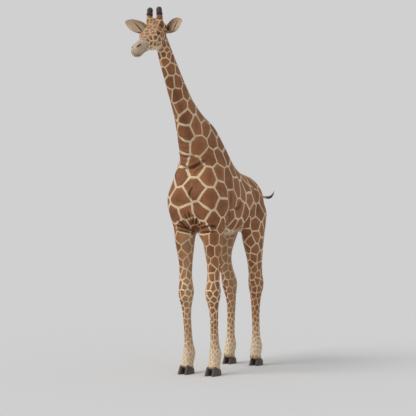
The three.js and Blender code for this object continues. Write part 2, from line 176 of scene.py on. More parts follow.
# %% One material, its nodes and its surface
class Paint:
    """A material with a Principled surface, built up from expressions."""

    def __init__(self, name, **surface):
        self.material = bpy.data.materials.new(name)
        self.material.use_nodes = True
        self.tree = self.material.node_tree
        self.tree.nodes.clear()
        self.surface = self.tree.nodes.new("ShaderNodeBsdfPrincipled")
        output = self.tree.nodes.new("ShaderNodeOutputMaterial")
        self.tree.links.new(self.surface.outputs[0], output.inputs["Surface"])
        for socket, value in surface.items():
            self.feed(self.surface.inputs[socket.replace("_", " ")], value)

    def feed(self, socket, value):
        if isinstance(value, Wire):
            self.tree.links.new(value.socket, socket)
        elif isinstance(value, tuple) and socket.type == "RGBA":
            socket.default_value = (*value, 1.0)
        else:
            socket.default_value = value

    def node(self, kind, settings=None, out=0, **values):
        """A node of a kind. Its settings come first, then its sockets, by name or by number."""
        node = self.tree.nodes.new(kind)
        for name, value in (settings or {}).items():
            setattr(node, name, value)
        inputs = [socket for socket in node.inputs if socket.enabled]
        for name, value in values.items():
            if name.isdigit():
                socket = inputs[int(name)]
            else:
                socket = next(s for s in inputs if s.name == name.replace("_", " "))
            self.feed(socket, value)
        outputs = [socket for socket in node.outputs if socket.enabled]
        chosen = outputs[out] if isinstance(out, int) else next(s for s in outputs if s.name == out)
        return Wire(self, chosen)

    def mixed(self, mask, first, second):
        """The first colour where the mask is 0 and the second where it is 1."""
        return self.node("ShaderNodeMix", {"data_type": "RGBA"}, Factor=mask, A=first, B=second)

    def shaded(self, colour, level):
        """A colour made darker or lighter by a number that changes over the surface."""
        grey = self.node("ShaderNodeCombineColor", None, Red=level, Green=level, Blue=level)
        settings = {"data_type": "RGBA", "blend_type": "MULTIPLY"}
        return self.node("ShaderNodeMix", settings, Factor=1.0, A=colour, B=grey)

    def noise(self, vector, scale, detail=3.0, roughness=0.55):
        values = {"Vector": vector, "Scale": scale, "Detail": detail, "Roughness": roughness}
        return self.node("ShaderNodeTexNoise", None, **values)

    def scaled(self, vector, factors):
        return self.node("ShaderNodeVectorMath", {"operation": "MULTIPLY"}, **{"0": vector, "1": factors})

    def place(self):
        return self.node("ShaderNodeTexCoord", None, out="Object")

    def stored(self, name, out="Fac"):
        return self.node("ShaderNodeAttribute", {"attribute_name": name}, out=out)

    def bumped(self, height, distance, strength=1.0):
        normal = self.node("ShaderNodeBump", None, Height=height, Distance=distance, Strength=strength)
        self.feed(self.surface.inputs["Normal"], normal)


print("materials can be mixed")

# %% [markdown]
# A museum animal is shown on a plain pale floor. A very large square will do for it. The world gives most of
# the light. What the camera sees of it is a second background of a plain grey, chosen by the kind of ray, so
# the backdrop's tone can be set without changing the light on the animal.

# %% The pale floor
floor_paint = Paint("pale_floor", Base_Color=(0.618, 0.612, 0.610), Roughness=0.95)
floor_mesh = bpy.data.meshes.new("floor")
REACH = 80.0
corners = [(-REACH, -REACH, 0), (REACH, -REACH, 0), (REACH, REACH, 0), (-REACH, REACH, 0)]
floor_mesh.from_pydata(corners, [], [(0, 1, 2, 3)])
floor_mesh.materials.append(floor_paint.material)
floor = bpy.data.objects.new("floor", floor_mesh)
scene.collection.objects.link(floor)
print("floor of", round(2 * REACH), "m")

# %% The light of the world, and the backdrop
world = bpy.data.worlds.new("studio")
scene.world = world
world.use_nodes = True
sky = world.node_tree
lit = sky.nodes["Background"]
lit.inputs["Color"].default_value = (0.98, 0.99, 1.0, 1)
lit.inputs["Strength"].default_value = 0.62
seen = sky.nodes.new("ShaderNodeBackground")
seen.inputs["Color"].default_value = (0.631, 0.631, 0.631, 1)
rays = sky.nodes.new("ShaderNodeLightPath")
either = sky.nodes.new("ShaderNodeMixShader")
total = rays.outputs["Is Camera Ray"]
for ray in ("Is Glossy Ray", "Is Transmission Ray"):
    added = sky.nodes.new("ShaderNodeMath")
    sky.links.new(total, added.inputs[0])
    sky.links.new(rays.outputs[ray], added.inputs[1])
    total = added.outputs[0]
for source, socket in zip((total, lit.outputs[0], seen.outputs[0]), either.inputs):
    sky.links.new(source, socket)
sky.links.new(either.outputs[0], sky.nodes["World Output"].inputs["Surface"])
print("stage set, with", len(sky.nodes), "nodes in the world")

# %% [markdown]
# The skin starts as the flesh solids themselves. Each is swollen by a hair's breadth, so that neighbours that
# were parted by a thin cut overlap again, and a voxel remesh melts them into one closed surface with even
# faces. The eyes are melted in too, as the bulge that the lids will lie on, and so are the roots of the
# ossicones, which are bone under a sleeve of haired skin.

# %% Copies of solids, welded and swollen
FEET = ["fore_left", "fore_right", "hind_left", "hind_right"]
FLESH = ["head", "neck", "trunk", "tail", *[f"leg_{foot}" for foot in FEET]]


def solid(node, swell=0.0):
    """A welded copy of a CAD node as a bmesh, moved out along its normals."""
    copy = bmesh.new()
    copy.from_mesh(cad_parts[node].data)
    bmesh.ops.remove_doubles(copy, verts=copy.verts, dist=2e-5)
    copy.normal_update()
    moves = [vertex.normal * swell for vertex in copy.verts]
    for vertex, move in zip(copy.verts, moves):
        vertex.co += move
    return copy


def object_of(mesh, name, *materials):
    piece = bpy.data.objects.new(name, mesh)
    scene.collection.objects.link(piece)
    for material in materials:
        mesh.materials.append(material)
    return piece


def melted(solids, voxel, name):
    """One closed mesh of even faces round all the solids."""
    joined = bpy.data.meshes.new(name)
    whole = bmesh.new()
    for each in solids:
        part = bpy.data.meshes.new("part")
        each.to_mesh(part)
        whole.from_mesh(part)
        bpy.data.meshes.remove(part)
    whole.to_mesh(joined)
    piece = object_of(joined, name)
    remesh = piece.modifiers.new("melt", "REMESH")
    remesh.mode = "VOXEL"
    remesh.voxel_size = voxel
    graph = bpy.context.evaluated_depsgraph_get()
    mesh = bpy.data.meshes.new_from_object(piece.evaluated_get(graph))
    bpy.data.objects.remove(piece)
    return mesh


def tube(rings, looped=False):
    """A bmesh through rings of points, with capped ends, or with its last ring joined to its first."""
    shape = bmesh.new()
    rows = [[shape.verts.new(point) for point in ring] for ring in rings]
    for row, after in zip(rows, [*rows[1:], rows[0]] if looped else rows[1:]):
        for k in range(len(row)):
            following = (k + 1) % len(row)
            shape.faces.new((row[k], row[following], after[following], after[k]))
    if not looped:
        shape.faces.new(rows[0][::-1])
        shape.faces.new(rows[-1])
    bmesh.ops.recalc_face_normals(shape, faces=shape.faces)
    return shape


print(len(FLESH), "flesh solids")

# %% [markdown]
# Skin runs up round the lower half of each ossicone, round the root of each ear, and down between the claws.
# The flesh solids stop short of those places, so plugs of plain rings are melted in with them. They don't
# show as they are: each ends inside the piece that it leads to.

# %% The axes of the ossicones, and the sleeve of skin round each
OSSICONE_BASE = body([0.084, -1.238, 4.690])
OSSICONE_TIP = body([0.066, -1.247, 4.949])
SLEEVE = [(0.0, 0.038), (0.2, 0.0445), (0.38, 0.0430), (0.55, 0.0405), (0.68, 0.0385), (0.74, 0.028)]


def mirrored(points, side):
    return np.asarray(points) * [side, 1, 1]


def stalk(base, tip, radii, sides=20):
    """Rings round a straight axis, with a radius at each share of its length."""
    axis = tip - base
    ahead = axis / np.linalg.norm(axis)
    across = np.cross(ahead, [0, 1.0, 0])
    across /= np.linalg.norm(across)
    other = np.cross(ahead, across)
    turns = np.linspace(0, 2 * np.pi, sides, endpoint=False)
    circle = np.outer(np.cos(turns), across) + np.outer(np.sin(turns), other)
    return [base + axis * share + circle * radius for share, radius in radii]


sleeves = [
    tube(stalk(mirrored(OSSICONE_BASE, side), mirrored(OSSICONE_TIP, side), SLEEVE)) for side, _ in SIDES
]
print("ossicones", round(float(np.linalg.norm(OSSICONE_TIP - OSSICONE_BASE)) * 1000), "mm long")

# %% The root of each ear, which the blade grows out of
EAR_ROOT = body([0.088, -1.168, 4.632])
EAR_TIP = {1: body([0.428, -1.282, 4.738]), -1: body([0.428, -1.282, 4.784])}
ROOT_RADII = [(-0.10, 0.044), (0.0, 0.044), (0.08, 0.042), (0.14, 0.036), (0.19, 0.020)]
roots = [
    tube(stalk(mirrored(EAR_ROOT, side), mirrored(EAR_TIP[side], side), ROOT_RADII)) for side, _ in SIDES
]
print("ears rooted", round(float(EAR_ROOT[0]) * 1000), "mm from the middle")


# %% The foot between its claws
def pastern(foot):
    """A plug under a leg, which carries the skin on down between the walls of the claws."""
    lows, highs = zip(*[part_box(f"hoof_{foot}_{part}") for part in ("inner", "outer")])
    left, front = min(low[0] for low in lows), min(low[1] for low in lows)
    right, rear = max(high[0] for high in highs), max(high[1] for high in highs)
    centre = np.array([(left + right) / 2, (front + rear) / 2 + 0.034, 0])
    turns = np.linspace(0, 2 * np.pi, 24, endpoint=False)
    half = np.array([(right - left) / 2 - 0.020, (rear - front) / 2 - 0.058, 0])
    circle = np.stack([np.cos(turns), np.sin(turns), 0 * turns], axis=1) * half
    return tube([centre + circle + [0, 0, height] for height in (0.046, 0.08, 0.11)])


pasterns = [pastern(foot) for foot in FEET]
print(len(pasterns), "pasterns")

# %% All of it melted into one surface
VOXEL = 0.0125
OVERLAP = 0.0012
solids = [solid(node, OVERLAP) for node in [*FLESH, "eye_left", "eye_right"]]
skin_mesh = melted([*solids, *sleeves, *roots, *pasterns], VOXEL, "skin")
print("skin starts with", len(skin_mesh.polygons), "faces")

# %% [markdown]
# The melted surface still shows the flat facets of the solids. A Smooth modifier could round them, but it
# would eat into thin limbs as fast as into the trunk. Here each point is moved again and again towards the
# middle of its neighbours, by a share that falls where the body is slender. What this ate is then measured
# against the surface before, and given back as a smooth swelling. So the skin ends up at an even depth inside
# the solids, which is the depth of the coat.

# %% Arrays of a mesh, and the mean of each point's neighbours
def points_of(mesh):
    flat = np.empty(len(mesh.vertices) * 3, np.float32)
    mesh.vertices.foreach_get("co", flat)
    return flat.reshape(-1, 3).astype(float)


def normals_of(mesh):
    flat = np.empty(len(mesh.vertices) * 3, np.float32)
    mesh.vertices.foreach_get("normal", flat)
    return flat.reshape(-1, 3).astype(float)


def edges_of(mesh):
    flat = np.empty(len(mesh.edges) * 2, np.int32)
    mesh.edges.foreach_get("vertices", flat)
    return flat.reshape(-1, 2)


def move_points(mesh, points):
    mesh.vertices.foreach_set("co", points.astype(np.float32).ravel())
    mesh.update()


def neighbour_mean(values, edges, count):
    """The mean of each point's neighbours, for a column of numbers or for rows of three."""
    i, j = edges.T
    columns = values.reshape(len(values), -1)
    sums = [np.bincount(i, c[j], len(c)) + np.bincount(j, c[i], len(c)) for c in columns.T]
    return (np.stack(sums, axis=1) / count[:, None]).reshape(values.shape)


def relaxed(points, edges, share, rounds):
    """Points moved towards the mean of their neighbours, by a share that may differ from point to point."""
    count = np.bincount(edges.ravel(), minlength=len(points))
    share = np.broadcast_to(share, len(points))[:, None]
    for _ in range(rounds):
        points = points + share * (neighbour_mean(points, edges, count) - points)
    return points


def rising(value, low, high):
    """0 below low, 1 above high, and a smooth step between them; high may be the smaller number."""
    share = np.clip((value - low) / (high - low), 0, 1)
    return share * share * (3 - 2 * share)


print("a quarter of the way up a step:", round(rising(0.25, 0, 1), 3))


# %% How broad the body is at each point
raw = points_of(skin_mesh)
edges = edges_of(skin_mesh)
out, along, high = on_face(raw).T
height, length = raw[:, 2], raw[:, 1] - FORE_Y

head_share = np.maximum(rising(along, -0.10, 0.02), rising(height, 4.70, 4.76)) * rising(height, 4.0, 4.2)
leg_share = rising(height, 2.02, 1.70)
neck_share = rising(height + 1.2 * length, 3.1, 1.9) * rising(height, 2.9, 3.3)
tail_share = rising(length, 1.76, 1.86) * rising(height, 2.3, 2.4)

broad = 1 - 0.80 * leg_share - 0.55 * neck_share * rising(height, 3.1, 4.1)
broad = broad * (1 - tail_share) + 0.05 * tail_share
broad = broad * (1 - head_share) + 0.10 * head_share
print("broadness from", round(broad.min(), 2), "to", round(broad.max(), 2))

# %% Rounding the facets, and giving back the lost depth
COAT_DEPTH = 0.006


def depth_below(points, tree):
    """How far each point lies beneath a surface, negative above it."""
    depths = np.empty(len(points))
    for k, point in enumerate(points):
        nearest, normal, _, _ = tree.find_nearest(point)
        depths[k] = (nearest - Vector(point)).dot(normal)
    return depths


def tree_of(mesh):
    work = bmesh.new()
    work.from_mesh(mesh)
    tree = BVHTree.FromBMesh(work)
    work.free()
    return tree


melted_tree = tree_of(skin_mesh)
rounded = relaxed(raw, edges, 0.9 * np.clip(broad, 0, 1), 60)
move_points(skin_mesh, rounded)
normals = normals_of(skin_mesh)
lost = depth_below(rounded, melted_tree)
count = np.bincount(edges.ravel(), minlength=len(raw))
given = lost.copy()
for _ in range(25):
    given = neighbour_mean(given, edges, count)
depth = COAT_DEPTH * (1 - 0.4 * head_share) * (1 - 0.5 * tail_share)
move_points(skin_mesh, rounded + normals * (given - depth)[:, None])
print("smoothing took", round(lost.mean() * 1000, 1), "mm on average, at most", round(lost.max() * 1000, 1))

# %% [markdown]
# Small forms need small faces, but faces that small all over would make the skin too heavy. So faces are
# split in four only over the chest, the joints of the legs and the head, and once more over the face. The new
# points are eased, so that no facet of the first surface shows.

# %% Finer faces where the forms are small
coarse_points, coarse_normals = points_of(skin_mesh), normals_of(skin_mesh)


def refined(mesh, region):
    """Splits each face in four where a function of points says so, and eases the new points."""
    centres = np.empty(len(mesh.polygons) * 3, np.float32)
    mesh.polygons.foreach_get("center", centres)
    chosen = region(centres.reshape(-1, 3).astype(float))
    work = bmesh.new()
    work.from_mesh(mesh)
    work.faces.ensure_lookup_table()
    lines = {edge for k in np.flatnonzero(chosen) for edge in work.faces[k].edges}
    bmesh.ops.subdivide_edges(work, edges=list(lines), cuts=1, use_grid_fill=True)
    work.to_mesh(mesh)
    work.free()
    points = points_of(mesh)
    move_points(mesh, relaxed(points, edges_of(mesh), 0.5 * region(points), 2))


def small_forms(points):
    """Head, chest, flanks, knees, hocks and feet."""
    x, y, z = on_body(points).T
    along = on_face(points)[:, 1]
    head = (along > -0.12) & (z > 4.15)
    chest = (y < -0.16) & (z > 1.84) & (z < 3.10)
    flank = (np.abs(x) > 0.24) & (y > 0.0) & (y < 0.72) & (z > 2.02) & (z < 2.66)
    fore = (np.abs(y) < 0.35) & (z > 0.96) & (z < 1.26)
    hind = (y > 0.9) & (z > 1.12) & (z < 1.40)
    return head | chest | flank | fore | hind | (z < 0.36)


def face_forms(points):
    _, along, high = on_face(points).T
    face_side = (along > 0.0) & (points[:, 2] > 4.2) & (high > -0.30)
    return face_side | ((along > -0.10) & (points[:, 2] > 4.60))


refined(skin_mesh, small_forms)
refined(skin_mesh, face_forms)
print("skin now has", len(skin_mesh.polygons), "faces")

# %% [markdown]
# Two tools shape the skin. One raises or presses a soft oval, which makes a muscle, a bone or a hollow. The
# other draws a line along the surface, which makes a fold with raised lips, or a ridge where its depth is
# negative. Both only gather heights, and a settle moves every point along its normal once.

# %% Tools that raise and press the skin
def curve_through(rows, spacing):
    """Points at an even spacing on a Catmull-Rom curve through rows of coordinates."""
    rows = np.asarray(rows, float)
    padded = np.concatenate([[2 * rows[0] - rows[1]], rows, [2 * rows[-1] - rows[-2]]])
    pieces = []
    for a, b, c, d in zip(padded, padded[1:], padded[2:], padded[3:]):
        count = max(2, int(np.linalg.norm(c - b) / spacing))
        t = np.linspace(0, 1, count, endpoint=False)[:, None]
        square, cube = 2 * a - 5 * b + 4 * c - d, 3 * b - a - 3 * c + d
        pieces.append(0.5 * (2 * b + (c - a) * t + square * t**2 + cube * t**3))
    return np.concatenate([*pieces, rows[-1:]])


class Clay:
    """The skin as arrays, with tools that gather heights. Sides count as 1 for left and -1 for right."""

    def __init__(self, mesh):
        self.mesh = mesh
        self.edges = edges_of(mesh)
        self.pressed = np.zeros(len(mesh.vertices))
        self.look()

    def look(self):
        self.points, self.normals = points_of(self.mesh), normals_of(self.mesh)
        self.heights = np.zeros(len(self.points))
        self.tree = tree_of(self.mesh)

    def swell(self, at, size, height, both=True, on_head=False):
        """Raises a soft oval round a place, or presses it where the height is negative."""
        places = on_face(self.points) if on_head else on_body(self.points)
        for side in (1, -1) if both else (1,):
            away = (places - np.array(at) * [side, 1, 1]) / size
            self.heights += height * np.exp(-(away**2).sum(axis=1))

    def crease(self, path, width, depth, lips=0.3, both=False, on_head=False, fade=0.25):
        """Presses a groove with raised lips along a path. It fades out over a share of each end."""
        for side in (1, -1) if both else (1,):
            rows = np.asarray(path, float) * [side, 1, 1]
            line = curve_through(face(rows) if on_head else body(rows), width * 0.3)
            line = np.array([self.tree.find_nearest(point)[0] for point in line])
            for _ in range(12):  # the surface's own bumps are eased out of the line
                line[1:-1] = (line[:-2] + 2 * line[1:-1] + line[2:]) / 4
            low, high = line.min(axis=0) - 4 * width, line.max(axis=0) + 4 * width
            near = np.flatnonzero(((self.points > low) & (self.points < high)).all(axis=1))
            gaps = np.linalg.norm(self.points[near, None] - line[None], axis=2)
            nearest = gaps.argmin(axis=1)
            gap, share = gaps.min(axis=1) / width, nearest / (len(line) - 1)
            ends = rising(share, 0, fade) * rising(share, 1, 1 - fade) if fade else 1.0
            groove = np.exp(-(gap**2)) - lips * np.exp(-(((gap - 1.9) / 0.9) ** 2))
            self.heights[near] -= depth * groove * ends
            self.pressed[near] -= depth * groove * ends

    def settle(self, rounds=1):
        """Moves the points by the gathered heights, a little at a time so that deep folds stay whole."""
        for _ in range(rounds):
            self.points = self.points + self.normals * (self.heights / rounds)[:, None]
            move_points(self.mesh, self.points)
            self.normals = normals_of(self.mesh)
        self.look()


clay = Clay(skin_mesh)
print("clay of", len(clay.points), "points")

# %% [markdown]
# Under the short coat of a giraffe the great muscles and the points of bone show plainly. They could be
# sculpted by hand, but a table of soft ovals says where each is and how high, and can be read and changed.
# Sizes run across the body, along it and upwards. Each row is for the left side, and the right side gets the
# same.

# %% Muscles and bones of the trunk, neck and thighs
BODY_FORMS = [
    # (across, along, height), size, raised by
    ((0.36, -0.16, 2.47), (0.09, 0.10, 0.10), 0.012),  # point of the shoulder
    ((0.39, 0.06, 2.40), (0.10, 0.13, 0.20), 0.012),  # upper arm
    ((0.37, 0.20, 2.75), (0.10, 0.10, 0.22), 0.006),  # behind the shoulder blade
    ((0.30, -0.02, 3.00), (0.10, 0.12, 0.22), 0.008),  # before its spine
    ((0.14, 0.14, 3.48), (0.08, 0.16, 0.12), 0.010),  # withers
    ((0.36, 0.26, 2.24), (0.06, 0.06, 0.07), -0.012),  # hollow behind the elbow
    ((0.39, 0.55, 2.32), (0.05, 0.06, 0.05), 0.012),  # fold of the flank
    ((0.36, 0.78, 2.62), (0.08, 0.12, 0.16), -0.010),  # hollow before the hip
    ((0.24, 0.98, 2.93), (0.07, 0.08, 0.07), 0.012),  # point of the hip
    ((0.31, 1.10, 2.60), (0.12, 0.13, 0.24), 0.008),  # thigh
    ((0.29, 1.34, 2.32), (0.08, 0.08, 0.26), 0.008),  # hamstrings
    ((0.35, 0.90, 2.08), (0.06, 0.07, 0.09), 0.010),  # stifle
    ((0.33, 1.12, 1.86), (0.05, 0.09, 0.16), 0.006),  # gaskin
    ((0.06, 1.42, 2.66), (0.04, 0.06, 0.08), -0.010),  # beside the root of the tail
    ((0.16, -0.34, 2.54), (0.10, 0.12, 0.10), 0.016),  # breast muscles
    ((0.25, -0.30, 2.53), (0.07, 0.10, 0.08), 0.008),
    ((0.12, -0.34, 2.70), (0.07, 0.10, 0.07), 0.006),
    ((0.15, -0.34, 2.37), (0.16, 0.14, 0.07), -0.012),  # where they turn under
    ((0.0, -0.15, 2.03), (0.05, 0.07, 0.06), -0.030),  # where the folds of the armpits meet
    ((0.22, -0.20, 1.86), (0.09, 0.10, 0.12), 0.008),  # forearm
    ((0.29, 0.10, 1.72), (0.05, 0.07, 0.20), 0.006),
    ((0.085, -0.15, 1.955), (0.045, 0.14, 0.080), 0.050),  # corners of the gap between the fore legs
]
BOLDNESS = 1.4  # raises every row by as much again
for at, size, height in BODY_FORMS:
    clay.swell(at, size, BOLDNESS * height)
print(len(BODY_FORMS), "broad forms")

# %% [markdown]
# Below the elbow and the thigh there is no muscle, only bone, tendon and skin. Knees, hocks and fetlocks
# stand out as knobs, and grooves run down between the bone and the tendons behind it. Just over each hoof the
# skin swells into the coronet, a band that falls from the toe to the heel.

# %% Bones and tendons of the lower legs
LEG_FORMS = [
    # (across, along, height), size, raised by
    ((0.213, -0.125, 1.09), (0.05, 0.05, 0.07), 0.010),  # front of the knee
    ((0.213, -0.115, 1.20), (0.05, 0.05, 0.04), 0.006),
    ((0.29, -0.02, 1.10), (0.04, 0.05, 0.06), 0.006),  # its sides
    ((0.135, -0.02, 1.10), (0.04, 0.05, 0.06), 0.006),
    ((0.213, 0.125, 1.14), (0.03, 0.04, 0.05), 0.008),  # bone behind it
    ((0.27, 0.075, 1.00), (0.03, 0.03, 0.06), -0.006),
    ((0.28, 0.05, 0.30), (0.03, 0.04, 0.05), 0.005),  # fetlock
    ((0.146, 0.05, 0.30), (0.03, 0.04, 0.05), 0.005),
    ((0.213, 0.175, 0.27), (0.04, 0.04, 0.05), 0.006),
    ((0.213, 0.175, 0.17), (0.05, 0.04, 0.03), -0.008),  # hollow of the pastern
    ((0.223, 1.60, 1.33), (0.03, 0.05, 0.06), 0.010),  # point of the hock
    ((0.285, 1.46, 1.22), (0.03, 0.06, 0.07), 0.006),  # its sides
    ((0.160, 1.46, 1.22), (0.03, 0.06, 0.07), 0.006),
    ((0.27, 1.56, 1.42), (0.03, 0.04, 0.08), -0.008),  # before the great tendon
    ((0.175, 1.56, 1.42), (0.03, 0.04, 0.08), -0.006),
    ((0.285, 1.42, 0.29), (0.03, 0.04, 0.05), 0.005),  # fetlock
    ((0.160, 1.42, 0.29), (0.03, 0.04, 0.05), 0.005),
]
for at, size, height in LEG_FORMS:
    clay.swell(at, size, height)
TENDONS = [
    [(0.268, 0.085, 0.92), (0.268, 0.085, 0.66), (0.268, 0.105, 0.42)],
    [(0.158, 0.085, 0.92), (0.158, 0.085, 0.66), (0.158, 0.105, 0.42)],
    [(0.278, 1.49, 1.05), (0.278, 1.45, 0.70), (0.278, 1.44, 0.42)],
    [(0.168, 1.49, 1.05), (0.168, 1.45, 0.70), (0.168, 1.44, 0.42)],
]
for path in TENDONS:
    clay.crease(path, 0.016, 0.006, both=True)
NECK_GROOVE = [(0.11, -1.05, 4.30), (0.13, -0.86, 3.90), (0.15, -0.60, 3.45), (0.15, -0.36, 3.05)]
clay.crease(NECK_GROOVE, 0.030, 0.008, both=True)
print(len(LEG_FORMS), "forms and", len(TENDONS), "grooves of the lower legs")

# %% The coronets, where the hooves begin
STRIDE = 1.365  # from the fore feet back to the hind feet
CORONET = {"height": 0.092, "slope": 0.306}  # over the middle of the foot, and its fall towards the heel


def above_coronet(points):
    """How far points are above the sloping top edge of the hoof below them."""
    _, y, z = on_body(points).T
    return z - CORONET["height"] + CORONET["slope"] * np.where(y > STRIDE / 2, y - STRIDE, y)


band = np.exp(-(((above_coronet(clay.points) - 0.010) / 0.028) ** 2))
clay.heights += 0.008 * band * (clay.points[:, 2] < 0.25)
clay.settle()
print("bands over the hooves")

# %% [markdown]
# Folds of loose skin follow: the fold where the neck meets the breast, the groove between the breast muscles,
# the fan of folds between the fore legs, and those of the elbow, flank and stifle. No two folds are alike, so
# they are drawn one by one, as paths through a few points each.

# %% Folds of the breast and between the fore legs
BREAST = [
    # path, width, depth
    ([(-0.15, -0.26, 2.955), (-0.06, -0.31, 2.900), (0.02, -0.33, 2.872), (0.10, -0.30, 2.903),
      (0.16, -0.265, 2.948), (0.24, -0.180, 3.005)], 0.019, 0.029),
    ([(-0.15, -0.32, 3.062), (-0.05, -0.37, 3.035), (0.04, -0.389, 3.027), (0.16, -0.310, 3.068)],
     0.020, 0.014),
    ([(-0.066, -0.325, 2.86), (-0.02, -0.345, 2.79), (0.027, -0.364, 2.738)], 0.022, -0.013),
    ([(0.204, -0.246, 2.931), (0.098, -0.331, 2.834), (0.07, -0.362, 2.737)], 0.022, -0.013),
    ([(0.119, -0.372, 2.63), (0.062, -0.378, 2.565), (0.044, -0.375, 2.496), (0.06, -0.364, 2.41)],
     0.014, 0.021),
    ([(0.02, -0.36, 2.70), (0.03, -0.37, 2.62), (0.03, -0.37, 2.56)], 0.030, 0.008),
    ([(-0.24, -0.28, 2.78), (-0.17, -0.33, 2.66), (-0.14, -0.34, 2.58)], 0.024, 0.006),
]
ARMPITS = [
    [(-0.010, -0.330, 2.300), (-0.007, -0.223, 2.140), (-0.002, -0.15, 2.05)],
    [(0.058, -0.295, 2.240), (-0.004, -0.180, 2.101), (0.0, -0.14, 2.04)],
    [(-0.085, -0.300, 2.250), (-0.038, -0.205, 2.120), (-0.01, -0.15, 2.05)],
    [(-0.230, -0.283, 2.190), (-0.129, -0.202, 2.081), (-0.082, -0.05, 1.98)],
    [(-0.300, -0.215, 2.085), (-0.170, -0.228, 2.072), (-0.099, -0.136, 2.023), (-0.086, 0.0, 1.959)],
    [(-0.290, -0.205, 2.022), (-0.176, -0.217, 2.009), (-0.111, -0.154, 1.988), (-0.091, 0.0, 1.924)],
    [(0.175, -0.250, 2.120), (0.09, -0.18, 2.09), (0.024, -0.117, 2.062)],
    [(0.365, -0.095, 2.055), (0.298, -0.216, 2.078), (0.197, -0.233, 2.062), (0.08, -0.130, 2.030)],
    [(0.350, -0.120, 2.004), (0.275, -0.212, 1.999), (0.177, -0.216, 1.989), (0.09, -0.140, 1.970)],
    [(0.12, -0.180, 1.960), (0.14, -0.200, 1.925), (0.175, -0.205, 1.880)],
    [(0.10, -0.26, 2.21), (0.05, -0.20, 2.12), (0.01, -0.14, 2.05)],
]
for path, width, depth in BREAST:
    clay.crease(path, width, depth)
for path in ARMPITS:
    clay.crease(path, 0.0125, 0.024, lips=0.40)
print(len(BREAST) + len(ARMPITS), "folds in front")

# %% Folds of the elbow, flank and stifle
SIDE_FOLDS = [
    ([(0.385, 0.06, 2.085), (0.375, 0.11, 2.115), (0.355, 0.18, 2.155), (0.33, 0.24, 2.185)], 0.017, 0.024),
    ([(0.38, 0.235, 2.66), (0.375, 0.232, 2.500), (0.365, 0.232, 2.400), (0.345, 0.260, 2.261),
      (0.313, 0.307, 2.150)], 0.017, 0.014),
    ([(0.36, 0.26, 2.36), (0.368, 0.40, 2.325), (0.370, 0.47, 2.330), (0.375, 0.540, 2.402),
      (0.37, 0.650, 2.474)], 0.018, 0.015),
    ([(0.29, 0.86, 2.10), (0.315, 0.905, 2.165), (0.323, 0.945, 2.215), (0.335, 1.040, 2.300)], 0.022, 0.020),
    ([(0.25, 1.22, 2.86), (0.31, 1.24, 2.62), (0.30, 1.22, 2.36), (0.29, 1.20, 2.12)], 0.034, 0.008),
    ([(0.33, 0.16, 3.02), (0.37, 0.08, 2.82), (0.385, -0.06, 2.58)], 0.040, -0.007),
]
for path, width, depth in SIDE_FOLDS:
    clay.crease(path, width, depth, both=True)
print(len(SIDE_FOLDS), "folds on each side")

# %% [markdown]
# Where a joint or the neck bends often, the skin in front of it is crossed by level wrinkles. They lie one
# above the other, so a list of levels, each with its strength, says enough. They sag a little in the middle.

# %% Rings of wrinkles on the front of the neck, knees and hocks
def wrinkles(levels, middle, reach, width, depth, sag=0.0):
    """Level grooves across surfaces that face forward, near a middle given as (across, along)."""
    x, y, z = on_body(clay.points).T
    facing = rising(-clay.normals[:, 1], 0.15, 0.75)
    for side in (1, -1) if middle[0] else (1,):
        off = np.abs(x - side * middle[0])
        near = rising(off, reach, reach * 0.5) * rising(np.abs(y - middle[1]), 0.30, 0.22)
        for level, strength in levels:
            gap = (z - level - sag * (off / reach) ** 2) / width
            groove = np.exp(-(gap**2)) - 0.3 * np.exp(-((np.abs(gap) - 1.9) ** 2))
            clay.heights -= depth * strength * groove * near * facing


KNEE = [(1.195, 0.5), (1.154, 1.0), (1.126, 0.9), (1.003, 1.0), (0.972, 0.4)]
HOCK = [(1.326, 0.5), (1.236, 1.0), (1.17, 1.0), (1.13, 0.4)]
FETLOCK = [(0.235, 0.7), (0.205, 0.6), (0.36, 0.4)]
NECK = [(3.13, 1.0), (3.20, 0.8), (3.28, 1.0), (3.37, 0.7), (3.47, 0.8), (3.58, 0.5)]
wrinkles(KNEE, (0.213, -0.10), 0.09, 0.009, 0.012, sag=0.012)
wrinkles(HOCK, (0.223, 1.28), 0.085, 0.009, 0.012, sag=0.012)
wrinkles(FETLOCK, (0.213, -0.02), 0.08, 0.008, 0.004, sag=-0.01)
wrinkles(NECK, (0.0, -0.45), 0.17, 0.018, 0.005, sag=0.03)
clay.settle(2)
print("folds and wrinkles pressed in")

# %% [markdown]
# The head gets the most care, since it is what people look at. Its forms are given in its own measure: out to
# the side, along the face from the poll, and off the face. A row in the middle plane is raised once, and any
# other on both sides.

